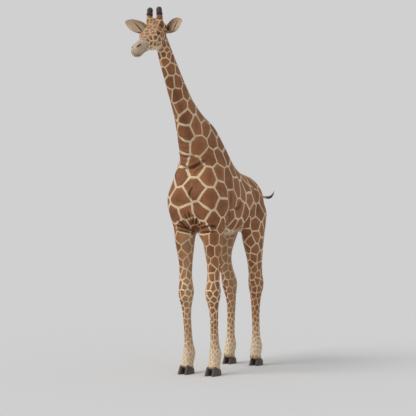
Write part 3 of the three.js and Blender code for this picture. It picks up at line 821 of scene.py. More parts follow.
# %% Bones and muscles of the head
HEAD_FORMS = [
    ((0.0, 0.070, 0.055), (0.026, 0.050, 0.035), 0.012),  # the knob in the middle of the forehead
    ((0.0, 0.150, 0.030), (0.050, 0.030, 0.030), -0.005),  # hollow under it
    ((0.06, 0.185, 0.020), (0.035, 0.050, 0.030), 0.005),
    ((0.135, 0.285, -0.002), (0.022, 0.036, 0.020), 0.009),  # brow
    ((0.138, 0.225, 0.004), (0.022, 0.050, 0.018), 0.007),
    ((0.125, 0.105, -0.030), (0.030, 0.035, 0.060), -0.012),  # temple
    ((0.13, 0.20, -0.115), (0.030, 0.060, 0.020), 0.005),  # arch of the cheek
    ((0.11, 0.185, -0.205), (0.045, 0.080, 0.065), 0.010),  # chewing muscle
    ((0.105, 0.330, -0.125), (0.040, 0.060, 0.050), -0.006),
    ((0.085, 0.420, -0.095), (0.040, 0.070, 0.040), -0.008),  # cheek hollow
    ((0.0, 0.400, 0.010), (0.040, 0.120, 0.020), 0.003),  # bridge of the nose
    ((0.062, 0.620, -0.020), (0.030, 0.060, 0.030), 0.005),  # side of the muzzle
    ((0.045, 0.700, -0.040), (0.035, 0.030, 0.035), 0.005),  # upper lip
    ((0.0, 0.665, -0.125), (0.045, 0.045, 0.025), 0.007),  # chin
    ((0.0, 0.400, -0.200), (0.045, 0.060, 0.040), -0.010),  # between the jaws
    ((0.105, 0.060, -0.255), (0.035, 0.040, 0.060), -0.014),  # behind the jaw
    ((0.118, 0.020, -0.150), (0.030, 0.030, 0.050), -0.010),
    ((0.082, 0.015, 0.055), (0.025, 0.045, 0.055), 0.011),  # roots of the ossicones
]
for at, size, height in HEAD_FORMS:
    clay.swell(at, size, height, on_head=True, both=at[0] > 0)
clay.settle()
print(len(HEAD_FORMS), "forms of the head")

# %% [markdown]
# Lines come after the forms: veins, the edges of the cheek and jaw, the brow and the folds round the eye. The
# mouth is cut a little deeper with fuller lips, and each nostril is a comma that is raised first and then cut
# into the raised place, deeply, and in small steps so that its walls stay whole.

# %% Lines of the head
HEAD_LINES = [
    # path, width, depth, lips
    ([(0.033, 0.010, 0.078), (0.036, 0.055, 0.056), (0.034, 0.105, 0.042)], 0.011, 0.009, 0.2),
    ([(0.086, 0.125, 0.020), (0.112, 0.092, -0.010), (0.132, 0.080, -0.060), (0.132, 0.070, -0.100)],
     0.016, 0.011, 0.2),
    ([(0.115, 0.310, -0.030), (0.140, 0.262, 0.000), (0.146, 0.215, -0.020), (0.140, 0.170, -0.052)],
     0.006, 0.005, 0.5),
    ([(0.120, 0.300, -0.060), (0.142, 0.262, -0.088), (0.142, 0.215, -0.100), (0.136, 0.175, -0.092)],
     0.007, 0.004, 0.4),
    ([(0.120, 0.315, -0.045), (0.110, 0.345, -0.065)], 0.006, 0.005, 0.3),
    ([(0.130, 0.290, -0.105), (0.118, 0.350, -0.098), (0.100, 0.420, -0.080), (0.085, 0.480, -0.06)],
     0.018, -0.006, 0.0),
    ([(0.100, 0.335, -0.215), (0.108, 0.300, -0.150), (0.112, 0.280, -0.105)], 0.022, 0.006, 0.2),
    ([(0.060, 0.160, -0.300), (0.095, 0.085, -0.270), (0.108, 0.045, -0.200), (0.112, 0.020, -0.120)],
     0.018, 0.016, 0.15),
    ([(0.075, 0.540, -0.035), (0.073, 0.600, -0.055), (0.068, 0.660, -0.060)], 0.012, 0.003, 0.2),
]
MOUTH = [(0.0, 0.735, -0.064), (0.030, 0.724, -0.076), (0.052, 0.692, -0.092), (0.060, 0.640, -0.099),
         (0.063, 0.570, -0.092), (0.066, 0.500, -0.078)]
NOSTRIL = [(0.039, 0.677, 0.017), (0.047, 0.655, 0.020), (0.053, 0.628, 0.018), (0.057, 0.595, 0.010)]
for path, width, depth, lips in HEAD_LINES:
    clay.crease(path, width, depth, lips=lips, both=True, on_head=True)
clay.crease(MOUTH, 0.0065, 0.009, lips=0.45, both=True, on_head=True, fade=0)
clay.crease(NOSTRIL, 0.016, -0.005, lips=0, both=True, on_head=True)
LIP_CLEFT = [(0, 0.700, 0.016), (0, 0.728, -0.020), (0, 0.736, -0.055)]
CHIN_GROOVE = [(0, 0.580, -0.150), (0, 0.480, -0.165), (0, 0.380, -0.205), (0, 0.300, -0.250)]
clay.crease(LIP_CLEFT, 0.006, 0.004, on_head=True)
clay.crease(CHIN_GROOVE, 0.018, 0.007, on_head=True)
clay.settle(2)
clay.crease(NOSTRIL, 0.0088, 0.026, lips=0.16, both=True, on_head=True)
clay.settle(4)
print(len(HEAD_LINES), "lines of the head, mouth and nostrils")

# %% [markdown]
# An eye sits in the skin behind two lids. Cutting a hole for it would leave an open edge, so the skin stays
# whole. Round the opening it is drawn back to the eyeball, and inside the opening it goes behind the eyeball.
# The lids themselves are a rim of their own, which dives under the skin.

# %% The opening of the lids
LIDS = {"long": math.radians(64), "upper": math.radians(27), "lower": math.radians(26)}


def unit(vector):
    vector = np.asarray(vector, float)
    return vector / np.linalg.norm(vector)


def eye_axes(side):
    """The eye's centre, the way it looks, the way to its front corner, and up across the opening."""
    centre = face([[side * EYE["out"], EYE["along"], EYE["high"]]])[0]
    looks = unit(side * SIDEWAYS + 0.36 * DOWN_FACE + 0.20 * OFF_FACE)
    corner = unit(DOWN_FACE + 0.42 * OFF_FACE)
    corner = unit(corner - (corner @ looks) * looks)
    up = unit(np.cross(looks, corner))
    return centre, looks, corner, up if up[2] > 0 else -up


def within_opening(azimuth, elevation, more=0.0):
    """Below 1 inside the opening of the lids, made wider all round by an angle."""
    tall = np.where(elevation > 0, LIDS["upper"], LIDS["lower"]) + more
    return np.hypot(azimuth / (LIDS["long"] + 0.6 * more), elevation / tall)


def from_eye(points, side):
    """The eye's centre, then each point's way and distance from it, how far ahead it is, and its angles."""
    centre, looks, corner, up = eye_axes(side)
    away = points - centre
    reach = np.linalg.norm(away, axis=1)
    azimuth = np.arctan2(away @ corner, away @ looks)
    elevation = np.arcsin(np.clip((away @ up) / reach, -1, 1))
    return centre, away, reach, away @ looks, azimuth, elevation


print("the left eye looks along", np.round(eye_axes(1)[1], 2))

# %% Sockets drawn in round the eyeballs
points = points_of(skin_mesh)
for side, _ in SIDES:
    centre, away, distance, ahead, azimuth, elevation = from_eye(points, side)
    near = rising(distance, 0.060, 0.045) * (ahead > -0.002)
    socket = rising(within_opening(azimuth, elevation, math.radians(22)), 1.25, 0.85) * near
    hidden = rising(within_opening(azimuth, elevation, math.radians(4)), 1.15, 0.9) * near
    reach = distance
    for share, radius in ((socket, 1.07), (hidden, 0.78)):
        capped = np.minimum(reach, EYE["radius"] * radius)
        reach = reach + share * (capped - reach)
    points = centre + away / distance[:, None] * reach[:, None]
move_points(skin_mesh, points)
print("sockets drawn in")

# %% A last light easing, which is kept off the eyeballs
CLEAR = EYE["radius"] * 1.06
points = relaxed(points_of(skin_mesh), clay.edges, 0.25, 2)
for side, _ in SIDES:
    centre, away, reach, ahead, azimuth, elevation = from_eye(points, side)
    covered = (within_opening(azimuth, elevation, math.radians(4)) > 1.1) & (ahead > -0.004) & (reach < CLEAR)
    points[covered] = centre + away[covered] / reach[covered, None] * CLEAR
move_points(skin_mesh, points)
print("skin eased")

# %% [markdown]
# Every piece from here on is made of numbers. A mesh can be built point by point, but for hair that would
# take minutes, so whole arrays are handed over at once. A piece then gets its material and its body, and the
# CAD nodes that it stands for are hidden. Markings are stored on the points, one number each, and a material
# reads them by name.

# %% Meshes from arrays
def mesh_of(name, points, faces):
    """A smooth mesh from an array of points and an array of faces with equally many corners."""
    mesh = bpy.data.meshes.new(name)
    mesh.vertices.add(len(points))
    mesh.vertices.foreach_set("co", np.asarray(points, np.float32).ravel())
    mesh.loops.add(faces.size)
    mesh.loops.foreach_set("vertex_index", faces.astype(np.int32).ravel())
    mesh.polygons.add(len(faces))
    mesh.polygons.foreach_set("loop_start", np.arange(0, faces.size, faces.shape[1], dtype=np.int32))
    mesh.update(calc_edges=True)
    smoothed(mesh)
    return mesh


def smoothed(mesh):
    mesh.polygons.foreach_set("use_smooth", np.ones(len(mesh.polygons), bool))
    mesh.update()


def store(mesh, name, values):
    """Keeps one number for each point of a mesh, for its material to read."""
    layer = mesh.attributes.new(name, "FLOAT", "POINT")
    layer.data.foreach_set("value", np.asarray(values, np.float32))


def lofted(rings, name, looped=False):
    """A smooth mesh through rings, with capped ends or joined end to end."""
    shape = tube(rings, looped)
    mesh = bpy.data.meshes.new(name)
    shape.to_mesh(mesh)
    shape.free()
    smoothed(mesh)
    return mesh


def placed(mesh, name, slot, nodes, *materials):
    """A piece of the giraffe, on its body and in the place of its CAD nodes. Its slot is not used."""
    piece = object_of(mesh, name, *materials)
    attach(piece, "root")
    if nodes:
        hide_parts(*nodes)
    return piece


print("skin of", len(points), "points, ready for its coat")

# %% [markdown]
# The coat of a reticulated giraffe is a net of narrow cream lines round large chestnut patches. A painted
# image would need an unwrap and would stretch over it. But such a net is also what grows between seeds that
# are scattered evenly: each patch is the part of the skin that is nearer to its seed than to any other. That
# can be worked out at any point of the skin. The seeds lie far apart on the trunk and close together on the
# head and the lower legs.

# %% How large the patches are
def in_head(points):
    """1 on the head, 0 on the neck and the body, with a smooth step behind the poll."""
    return rising(on_face(points)[:, 1], -0.10, 0.06) * rising(points[:, 2], 4.15, 4.35)


def in_tail(points):
    """1 on the tail, with a smooth step at its root."""
    _, y, z = on_body(points).T
    return rising(y, 1.74, 1.84) * rising(z, 2.3, 2.4)


def patch_size(points):
    """How far apart the seeds lie, in metres."""
    levels = [0.2, 0.7, 1.2, 1.6, 2.0, 2.4, 3.0, 3.6, 4.4]
    sizes = [0.055, 0.075, 0.100, 0.130, 0.180, 0.250, 0.250, 0.205, 0.150]
    head, tail = in_head(points), in_tail(points)
    return np.interp(points[:, 2], levels, sizes) * (1 - head) * (1 - tail) + 0.070 * head + 0.060 * tail


def with_facing(points, normals):
    """Points and the ways they face, so that the two sides of a thin limb count as far apart."""
    return np.concatenate([points, (0.07 - 0.055 * in_head(points))[:, None] * normals], axis=1)


def nearest_seeds(places, seeds, count):
    """The nearest seeds of each place, and the squares of their distances."""
    numbers, squares = [], []
    for start in range(0, len(places), 20000):
        some = places[start : start + 20000].astype(np.float32)
        products = some @ seeds.T.astype(np.float32)
        gaps = (some**2).sum(1)[:, None] + (seeds**2).sum(1)[None] - 2 * products
        first = np.argpartition(gaps, count, axis=1)[:, :count]
        found = np.take_along_axis(gaps, first, axis=1)
        order = np.argsort(found, axis=1)
        numbers.append(np.take_along_axis(first, order, axis=1))
        squares.append(np.take_along_axis(found, order, axis=1))
    return np.concatenate(numbers), np.concatenate(squares)


print("patches of", round(float(patch_size(coarse_points).max()) * 100), "cm on the trunk")

# %% Seeds of the patches
lottery = np.random.default_rng(5)
picked = lottery.permutation(len(coarse_points))[:30000]
ground = with_facing(coarse_points[picked], coarse_normals[picked])
room = patch_size(coarse_points[picked])
seeds = np.empty((0, 6))
spans = np.empty(0)
for place, span in zip(ground, room):
    if len(seeds) == 0 or (np.linalg.norm(seeds - place, axis=1) > 0.42 * (spans + span)).all():
        seeds = np.vstack([seeds, place])
        spans = np.append(spans, span)
for _ in range(2):
    mine = nearest_seeds(ground, seeds, 1)[0][:, 0]
    filled = np.bincount(mine, minlength=len(seeds))[:, None]
    middles = np.stack([np.bincount(mine, column, len(seeds)) for column in ground.T], axis=1)
    seeds = np.where(filled > 0, 0.4 * seeds + 0.6 * middles / np.maximum(filled, 1), seeds)
tones = lottery.random(len(seeds))
print(len(seeds), "patches")

# %% [markdown]
# What a point of the coat looks like is said by a handful of numbers: how far inside a patch it lies, how
# dark that patch is, how far the coat fades there, and how near the point is to the nostril, the mouth or a
# hoof. Skin, lids and every tuft of hair get them from the same function, so the net runs on over all of
# them.

# %% Slow waves, and the distance from a line of the head
def waves(points, size):
    """Slow waves in three directions, which bend the edges of the patches a little."""
    p = points / size
    return np.stack([
        np.sin(p[:, 1] * 1.3 + 1.7 * np.sin(p[:, 2] * 0.9)),
        np.sin(p[:, 2] * 1.1 + 1.9 * np.sin(p[:, 0] * 1.2)),
        np.sin(p[:, 0] * 1.4 + 1.6 * np.sin(p[:, 1] * 1.0)),
    ], axis=1)


def line_gap(places, path, outward, depth=0.3):
    """How far points of the head are from a line on either side of it. Depth counts for less than width."""
    line = curve_through(path, 0.004)
    mirror = np.where(places[:, :1] < 0, [[-1, 1, 1]], [[1, 1, 1]])
    gaps = np.full(len(places), 1.0)
    near = (np.abs(places * mirror - line.mean(axis=0)) < 0.15).all(axis=1)
    away = (places * mirror)[near, None] - line[None]
    inward = away @ unit(outward)
    gaps[near] = np.linalg.norm(away - (1 - depth) * inward[..., None] * unit(outward), axis=2).min(axis=1)
    return gaps


mouth_steps = np.diff(curve_through(MOUTH, 0.004), axis=0)
mouth_long = np.linalg.norm(mouth_steps, axis=1).sum()
print("mouth", round(float(mouth_long) * 1000), "mm from its middle to each corner")

# %% The markings at any point of the skin
def markings(points, normals):
    """The coat at each point: patch is how far inside a patch it lies, and the rest are shares."""
    size = patch_size(points)
    bent = points + 0.030 * size[:, None] * waves(points, 0.09) + 0.012 * size[:, None] * waves(points, 0.035)
    numbers, squares = nearest_seeds(with_facing(bent, normals), seeds, 6)
    own, others = seeds[numbers[:, 0]], seeds[numbers[:, 1:]]
    apart = np.linalg.norm(others - own[:, None], axis=2)
    edge = ((squares[:, 1:] - squares[:, :1]) / (2 * apart)).min(axis=1)
    line = (0.0058 + 0.032 * size) * (1 + 0.25 * waves(points, 0.21)[:, 0])

    x, y, z = on_body(points).T
    places = on_face(points)
    along = places[:, 1]
    head = rising(along, -0.02, 0.06) * rising(z, 4.15, 4.35)
    inward = rising(-np.sign(x) * normals[:, 0], -0.5, 1.0) * rising(z, 2.10, 1.95) * rising(z, 0.3, 0.6)
    under = rising(-normals[:, 2], 0.55, 0.9) * rising(z, 1.7, 1.9) * rising(y, 0.05, 0.35) * (1 - head)
    lower = rising(z, 0.95, 0.25)
    throat = rising(-normals[:, 2], 0.35, 0.75) * head
    muzzle = rising(along, 0.40, 0.56) * head
    fade = 1 - np.maximum.reduce([0.55 * inward, 0.75 * under, 0.72 * lower, 0.8 * throat, muzzle])
    # The nostril and mouth masks are painted shade: darkness down the pits of the nostrils and in the line
    # between the lips.
    nostril_shade = np.exp(-((line_gap(places, NOSTRIL, (0.62, 0.15, 0.77), 0.08) / 0.0085) ** 2)) * head
    mouth = 0.8 * np.exp(-((line_gap(places, MOUTH, (0.9, 0.4, 0)) / 0.0048) ** 2)) * head
    # dark holds that painted shade, and the skin's own dark colour under the coronets.
    dark = np.maximum.reduce([nostril_shade, mouth, 0.8 * rising(above_coronet(points), -0.004, -0.016)])
    trunk = rising(z, 1.9, 2.3) * rising(z + 1.4 * y, 3.5, 2.9)
    return {
        "patch": np.clip(edge - line, -0.05, 0.12),
        "tone": tones[numbers[:, 0]],
        "fade": fade,
        "muzzle": muzzle,
        "brow": head * (1 - muzzle) * rising(normals @ OFF_FACE, 0.35, 0.85),
        "dark": dark,
        "backward": rising(np.abs(normals[:, 1]), 0.9, 0.5) * trunk,
    }


poll_marks = markings(POLL[None], OFF_FACE[None])
print("the poll:", {name: round(float(values[0]), 2) for name, values in poll_marks.items()})


# %% Markings stored in a mesh
def wear(mesh, **more):
    """Stores the markings of every point of a mesh in it, with any others that are given."""
    edges = edges_of(mesh)
    facing = relaxed(normals_of(mesh), edges, 0.7, 12)
    facing /= np.linalg.norm(facing, axis=1, keepdims=True)
    marks = markings(points_of(mesh), facing)
    marks.update(more)
    for name, values in marks.items():
        store(mesh, name, values)
    return marks


# fold is painted shade: the coat is darkened where the skin is pressed into folds and creases.
skin_marks = wear(skin_mesh, fold=np.clip(-clay.pressed / 0.014, 0, 1))
print("patches cover", round(100 * float((skin_marks["patch"] > 0).mean())), "percent of the points")

# %% [markdown]
# The paint reads those numbers. It makes each patch chestnut with a darker middle, lets the net show cream,
# and breaks the edge between them with the grain of the hair, as real hairs do. The grain is a noise that is
# stretched along the lie of the hair, and it feeds the bump as well. Where the coat fades, on the lower legs
# and the belly, the patches pale before they vanish. Shade is painted too: the coat darkens in the folds of
# the skin, in the nostrils and along the line of the mouth.

# %% The paint of the coat
def coat_paint(name):
    """Chestnut patches in a net of cream, with the grain of short hair in its colour and its bump."""
    paint = Paint(name)
    keys = ("patch", "tone", "fade", "muzzle", "brow", "dark", "backward", "fold", "tipward")
    patch, tone, fade, muzzle, brow, dark, backward, fold, tipward = map(paint.stored, keys)
    place = paint.place()
    mottle = paint.noise(place, 9.0, detail=3.0)
    grain_down = paint.noise(paint.scaled(place, (420.0, 420.0, 70.0)), 1.0, detail=2.0)
    grain_back = paint.noise(paint.scaled(place, (420.0, 70.0, 420.0)), 1.0, detail=2.0)
    grain = grain_down * (1.0 - backward) + grain_back * backward
    ragged = patch + (grain - 0.5) * 0.007 + (mottle - 0.5) * 0.006
    inside = ragged.between(-0.0016, 0.0022)
    depth = patch.between(0.01, 0.09)

    chestnut = paint.mixed(tone, (0.330, 0.128, 0.042), (0.205, 0.066, 0.020))
    chestnut = paint.mixed(depth * 0.35, chestnut, (0.150, 0.046, 0.015))
    chestnut = paint.mixed(mottle.between(0.35, 0.75) * 0.35, chestnut, (0.400, 0.175, 0.062))
    cream = paint.mixed(mottle, (0.760, 0.610, 0.405), (0.640, 0.470, 0.280))
    cream = paint.mixed(fade.between(0.75, 0.15) * 0.6, cream, (0.800, 0.690, 0.520))
    faint = paint.mixed(0.5, chestnut, (0.560, 0.370, 0.200))
    body_patch = paint.mixed(fade.between(0.9, 0.35), chestnut, faint)
    body_patch = paint.mixed(fade.between(0.45, 0.05), body_patch, cream)
    colour = paint.mixed(inside, cream, body_patch)
    colour = paint.mixed(brow * 0.55, colour, (0.300, 0.150, 0.066))
    nose = paint.mixed(mottle.between(0.3, 0.7), (0.430, 0.330, 0.240), (0.330, 0.235, 0.165))
    colour = paint.mixed(muzzle * 0.85, colour, nose)
    colour = paint.shaded(colour, 0.80 + grain * 0.40)
    # Painted shade in the folds and creases of the skin.
    colour = paint.shaded(colour, 1.0 - fold * 0.40)
    colour = paint.shaded(colour, 1.0 + tipward * 0.16)
    # dark paints shade in the nostrils and along the mouth, and the own dark colour of the skin under the
    # coronets, of the lids and of the ossicone fringes.
    colour = paint.mixed(dark, colour, (0.012, 0.008, 0.007))
    paint.feed(paint.surface.inputs["Base Color"], colour)
    paint.feed(paint.surface.inputs["Roughness"], 0.60 + grain * 0.22 - muzzle * 0.10)
    paint.bumped(grain + paint.noise(place, 55.0, detail=2.0) * 0.7, 0.0022, 0.55)
    return paint


coat = coat_paint("giraffe_coat")
print("coat paint of", len(coat.tree.nodes), "nodes")

# %% [markdown]
# Now the skin can take its place. It stands for every node of flesh at once.

# %% The skin as a piece
smoothed(skin_mesh)
placed(skin_mesh, "skin", "coat", FLESH, coat.material)
skin_points, skin_normals = points_of(skin_mesh), normals_of(skin_mesh)
print("skin of", len(skin_mesh.polygons), "faces")

# %% [markdown]
# Blender's hair curves would be the usual way to grow hair, but they are lines, and lines don't export as
# solid pieces. Here hair is made of locks: thin closed spikes with three sides, each with its root a little
# under the skin. A short hair of the coat has four faces. A long one in the mane or the tail bends along a
# path. Thousands of them go into one mesh, made from arrays in one step. Every lock keeps the markings of its
# root, and a small place on a map of the skin, into which its colours can be baked.

# %% Many locks in one mesh
PATCH = 0.003  # the side of each lock's own place on the map


def locks(name, paths, width, across, stored, patch, facing=None, deep=0.8):
    """Closed three-sided locks along paths of equally many points, tapering to a point.

    across is the way that each lock is broad, and deep is its depth as a share of half its width. stored
    holds a number for each lock by name, and patch is the place of each root on the unwrapped skin. Short
    hair is lit as the skin below it, and then facing holds the skin's normals.
    """
    number, steps, _ = paths.shape
    along_path = np.gradient(paths, axis=1)
    along_path /= np.linalg.norm(along_path, axis=2, keepdims=True) + 1e-12
    broad = across[:, None, :] - (across[:, None, :] * along_path).sum(2, keepdims=True) * along_path
    broad /= np.linalg.norm(broad, axis=2, keepdims=True) + 1e-12
    thick = np.cross(along_path, broad)
    taper = (1 - np.linspace(0, 1, steps) ** 1.6)[None, :-1, None]
    reach = width[:, None, None] * taper / 2
    base = paths[:, :-1]
    broad, thick = broad[:, :-1] * reach, thick[:, :-1] * reach * deep
    rings = np.stack([base + broad, base - broad, base + thick], axis=2).reshape(number, -1, 3)
    points = np.concatenate([rings, paths[:, -1:]], axis=1)
    each = points.shape[1]
    faces = [(0, 1, 2)]
    for step in range(steps - 2):
        for k in range(3):
            a, b = 3 * step + k, 3 * step + (k + 1) % 3
            faces += [(a, b + 3, b), (a, a + 3, b + 3)]
    last = 3 * (steps - 2)
    faces += [(last + (k + 1) % 3, last + k, each - 1) for k in range(3)]
    faces = np.array(faces)[None] + (np.arange(number) * each)[:, None, None]
    mesh = mesh_of(name, points.reshape(-1, 3), faces.reshape(-1, 3))
    for key, values in stored.items():
        store(mesh, key, np.repeat(values, each))
    upward = np.append(np.repeat(np.linspace(0, 1, steps)[:-1], 3), 1.0)
    store(mesh, "tipward", np.tile(upward, number))
    sideways = np.append(np.tile([0, 1, 0.5], steps - 1), 0.5)
    places = (patch[:, None] + PATCH * np.stack([sideways, upward], axis=1)).reshape(-1, 2)
    if facing is not None:
        own = normals_of(mesh) * 0.2 + np.repeat(facing, each, axis=0)
        mesh.normals_split_custom_set_from_vertices(own / np.linalg.norm(own, axis=1, keepdims=True))
    layer = mesh.uv_layers.new(name="OFBake")
    layer.data.foreach_set("uv", places[faces.ravel()].astype(np.float32).ravel())
    return mesh


print("the shortest lock has 4 faces")

# %% [markdown]
# The eye of a giraffe is large, dark and wet, with a pupil that lies level and a rim of brown iris. The ball
# is a sphere with a slight bulge for the cornea. Its colours come from where a point lies as seen from the
# front of the eye, and a thin clear coat gives the wet highlight.

# %% The paint of the eyes
eye_paint = Paint("wet_dark_eye", Roughness=0.07, Coat_Weight=0.5, Coat_Roughness=0.03)
sight, level, upright = (eye_paint.stored(name) for name in ("sight", "level", "upright"))
streaks = eye_paint.noise(eye_paint.scaled(eye_paint.place(), (260.0, 260.0, 260.0)), 1.0, detail=4.0)
iris = eye_paint.mixed(streaks, (0.030, 0.012, 0.005), (0.075, 0.032, 0.012))
pupil = (level * level * 7.0 + upright * upright * 26.0).between(1.25, 0.9)
white = sight.between(0.62, 0.50)
colour = eye_paint.mixed(pupil, iris, (0.003, 0.003, 0.004))
colour = eye_paint.mixed(white, colour, eye_paint.mixed(streaks, (0.16, 0.09, 0.06), (0.30, 0.20, 0.15)))
eye_paint.feed(eye_paint.surface.inputs["Base Color"], colour)
print("eye paint of", len(eye_paint.tree.nodes), "nodes")


# %% The eyeballs
def eyeball(side, name):
    """A ball with a slight bulge in front, and where each point lies as seen from there."""
    centre, looks, corner, up = eye_axes(side)
    rings = []
    for polar in np.linspace(0.03, math.pi - 0.03, 28):
        bulge = 1 + 0.05 * math.exp(-((polar / 0.5) ** 2))
        turns = np.linspace(0, 2 * np.pi, 40, endpoint=False)
        circle = np.outer(np.cos(turns), corner) + np.outer(np.sin(turns), up)
        radius = EYE["radius"] * bulge
        rings.append(centre + radius * (math.cos(polar) * looks + math.sin(polar) * circle))
    mesh = lofted(rings, name)
    away = (points_of(mesh) - centre) / EYE["radius"]
    store(mesh, "sight", away @ looks)
    store(mesh, "level", away @ corner)
    store(mesh, "upright", away @ up)
    return mesh


for side, name in SIDES:
    placed(eyeball(side, f"eye_{name}_ball"), f"eye_{name}_ball", "eye", [f"eye_{name}"], eye_paint.material)
print("eyes", round(EYE["radius"] * 2000), "mm across")

# %% [markdown]
# A lid is a fold of skin with a thick dark edge that lies against the ball. One closed ring makes both lids:
# a profile is swept round the opening, and its outer side dives under the skin of the face, so that no seam
# shows.

# %% The rims of the lids
LID_PROFILE = [
    # how far out from the edge of the opening in degrees, and how far off the eyeball in mm
    (-5, -2.0), (-2, 0.2), (0, 1.3), (1.5, 2.2), (4, 2.7), (7, 2.5), (10, 1.8), (13, 0.2), (16, -3.5),
    (6, -3.5),
]
LID_TURNS = np.linspace(0, 2 * np.pi, 96, endpoint=False)


def around_eye(side, turn, more, lift):
    """A point out from the opening's edge by an angle and off the eyeball by a height."""
    centre, looks, corner, up = eye_axes(side)
    tall = (LIDS["upper"] if math.sin(turn) > 0 else LIDS["lower"]) + more
    azimuth, elevation = (LIDS["long"] + 0.45 * more) * math.cos(turn), tall * math.sin(turn)
    ray = math.cos(elevation) * (math.cos(azimuth) * looks + math.sin(azimuth) * corner)
    return centre + (ray + math.sin(elevation) * up) * (EYE["radius"] + lift)


margin = np.tile([rising(out, 5.5, 1.5) for out, _ in LID_PROFILE], len(LID_TURNS))
for side, name in SIDES:
    rings = [
        [around_eye(side, turn, math.radians(out), lift / 1000) for out, lift in LID_PROFILE]
        for turn in LID_TURNS
    ]
    mesh = lofted(rings, f"eye_{name}_lids", looped=True)
    wear(mesh, dark=0.35 + 0.6 * margin)
    placed(mesh, f"eye_{name}_lids", "coat", [], coat.material)
print("lids of", len(mesh.polygons), "faces each")

# %% [markdown]
# An ear is a leaf of gristle, rolled into a funnel at its root and open to a shallow cup further out, with
# folds along its inside. A flat leaf could be bent by modifiers, but a table of widths, angles and depths
# along the ear gives each ring its curve directly. The inside and the outside are two rows of the same ring,
# so the blade has a true thickness.

# %% The measures of an ear, and smooth reading of a table
EAR_AT = [0.06, 0.14, 0.22, 0.31, 0.42, 0.54, 0.66, 0.77, 0.87, 0.945, 0.985, 1.0]
EAR_WIDE = [0.064, 0.090, 0.116, 0.134, 0.150, 0.157, 0.150, 0.130, 0.096, 0.058, 0.028, 0.006]
EAR_ARC = [158, 158, 154, 146, 130, 108, 90, 76, 64, 52, 44, 40]
EAR_DEEP = [0.034, 0.040, 0.044, 0.047, 0.047, 0.043, 0.037, 0.029, 0.019, 0.010, 0.005, 0.002]
EAR_THICK = [0.0090, 0.0085, 0.0080, 0.0074, 0.0066, 0.0058, 0.0052, 0.0048, 0.0042, 0.0036, 0.0030, 0.0026]


def smooth_through(at, values, places):
    """Values read on a smooth curve through the rows of a table."""
    at, values = np.asarray(at, float), np.asarray(values, float)
    slopes = np.gradient(values, at)
    k = np.clip(np.searchsorted(at, places) - 1, 0, len(at) - 2)
    gap = np.diff(at)[k]
    t = (places - at[k]) / gap
    rise = (2 * t**3 - 3 * t**2 + 1) * values[k] + (-2 * t**3 + 3 * t**2) * values[k + 1]
    return rise + gap * ((t**3 - 2 * t**2 + t) * slopes[k] + (t**3 - t**2) * slopes[k + 1])


def ear_frame(side):
    """The root of an ear, its axis, the way that it opens, and the way that it is wide."""
    root = mirrored(EAR_ROOT, side)
    axis = mirrored(EAR_TIP[side], side) - root
    ahead = unit(axis)
    opening = np.array([side * 0.25, -1, 0.05])
    opening = unit(opening - (opening @ ahead) * ahead)
    return root, axis, opening, np.cross(opening, ahead) * side


print("ears", round(float(np.linalg.norm(EAR_TIP[1] - EAR_ROOT)) * 1000), "mm long")

# %% The blades of the ears
ACROSS = np.linspace(-1, 1, 41)  # from one edge of an ear to the other


def ear_folds(place):
    """How high the inside of an ear rises, and how much of it is slit, across the ear at a place along it."""
    middle = rising(place, 0.30, 0.50) * rising(place, 0.97, 0.70)
    ridges = 0.0030 * np.cos(ACROSS * math.pi * 3.2) * middle * np.exp(-((ACROSS / 0.6) ** 4))
    fold = ACROSS - np.interp(place, [0.24, 0.78], [-0.44, 0.34])
    open_here = math.sin(math.pi * min(max((place - 0.20) / 0.60, 0), 1)) ** 0.7
    slit = open_here * np.exp(-((fold / (0.035 + 0.055 * open_here)) ** 2))
    ridges = ridges + 0.0022 * open_here * np.exp(-(((fold - 0.17) / 0.07) ** 2)) - 0.0036 * slit
    return ridges, slit


def ear_blade(side, name):
    """A leaf curled to a funnel at its root, which opens to a shallow cup with a slit along it."""
    root, axis, opening, wide = ear_frame(side)
    places = np.linspace(EAR_AT[0], 1.0, 64)
    sizes = [smooth_through(EAR_AT, column, places) for column in (EAR_WIDE, EAR_ARC, EAR_DEEP, EAR_THICK)]
    rings, slits = [], []
    for place, width, arc, deep, thick in zip(places, *sizes):
        half = math.radians(arc)
        angles = ACROSS * half
        flat = math.sin(half) if half < math.pi / 2 else 1
        x = width / 2 * np.sin(angles) / flat
        x = x * (1 + 0.02 * np.sin(place * 15 + ACROSS * 2) * np.abs(ACROSS) ** 3)
        y = deep * ((1 - np.cos(angles)) / (1 - math.cos(half)) - 1)
        slope = np.stack([np.gradient(x), np.gradient(y)])
        square = np.stack([-slope[1], slope[0]]) / np.linalg.norm(slope, axis=0)
        ridges, slit = ear_folds(place)
        rows = []
        for lift in (thick / 2 + ridges, np.full(len(ACROSS), -thick / 2)):
            lift = lift * (1 - 0.75 * ACROSS**8)
            at = np.outer(x + square[0] * lift, wide) + np.outer(y + square[1] * lift, opening)
            rows.append(root + axis * place + at)
        rings.append(np.concatenate([rows[0], rows[1][::-1]]))
        slits.append(np.concatenate([slit, 0 * slit]))
    mesh = lofted(rings, name)
    hollow = np.concatenate([1 - np.abs(ACROSS), np.abs(ACROSS[::-1]) - 2])
    store(mesh, "share", np.repeat(places, len(hollow)))
    store(mesh, "hollow", np.tile(hollow, len(places)))
    # slit also tells the paint where to put painted shade along the fold of the ear.
    store(mesh, "slit", np.concatenate(slits))
    return mesh


print("rings of", 2 * len(ACROSS), "points")
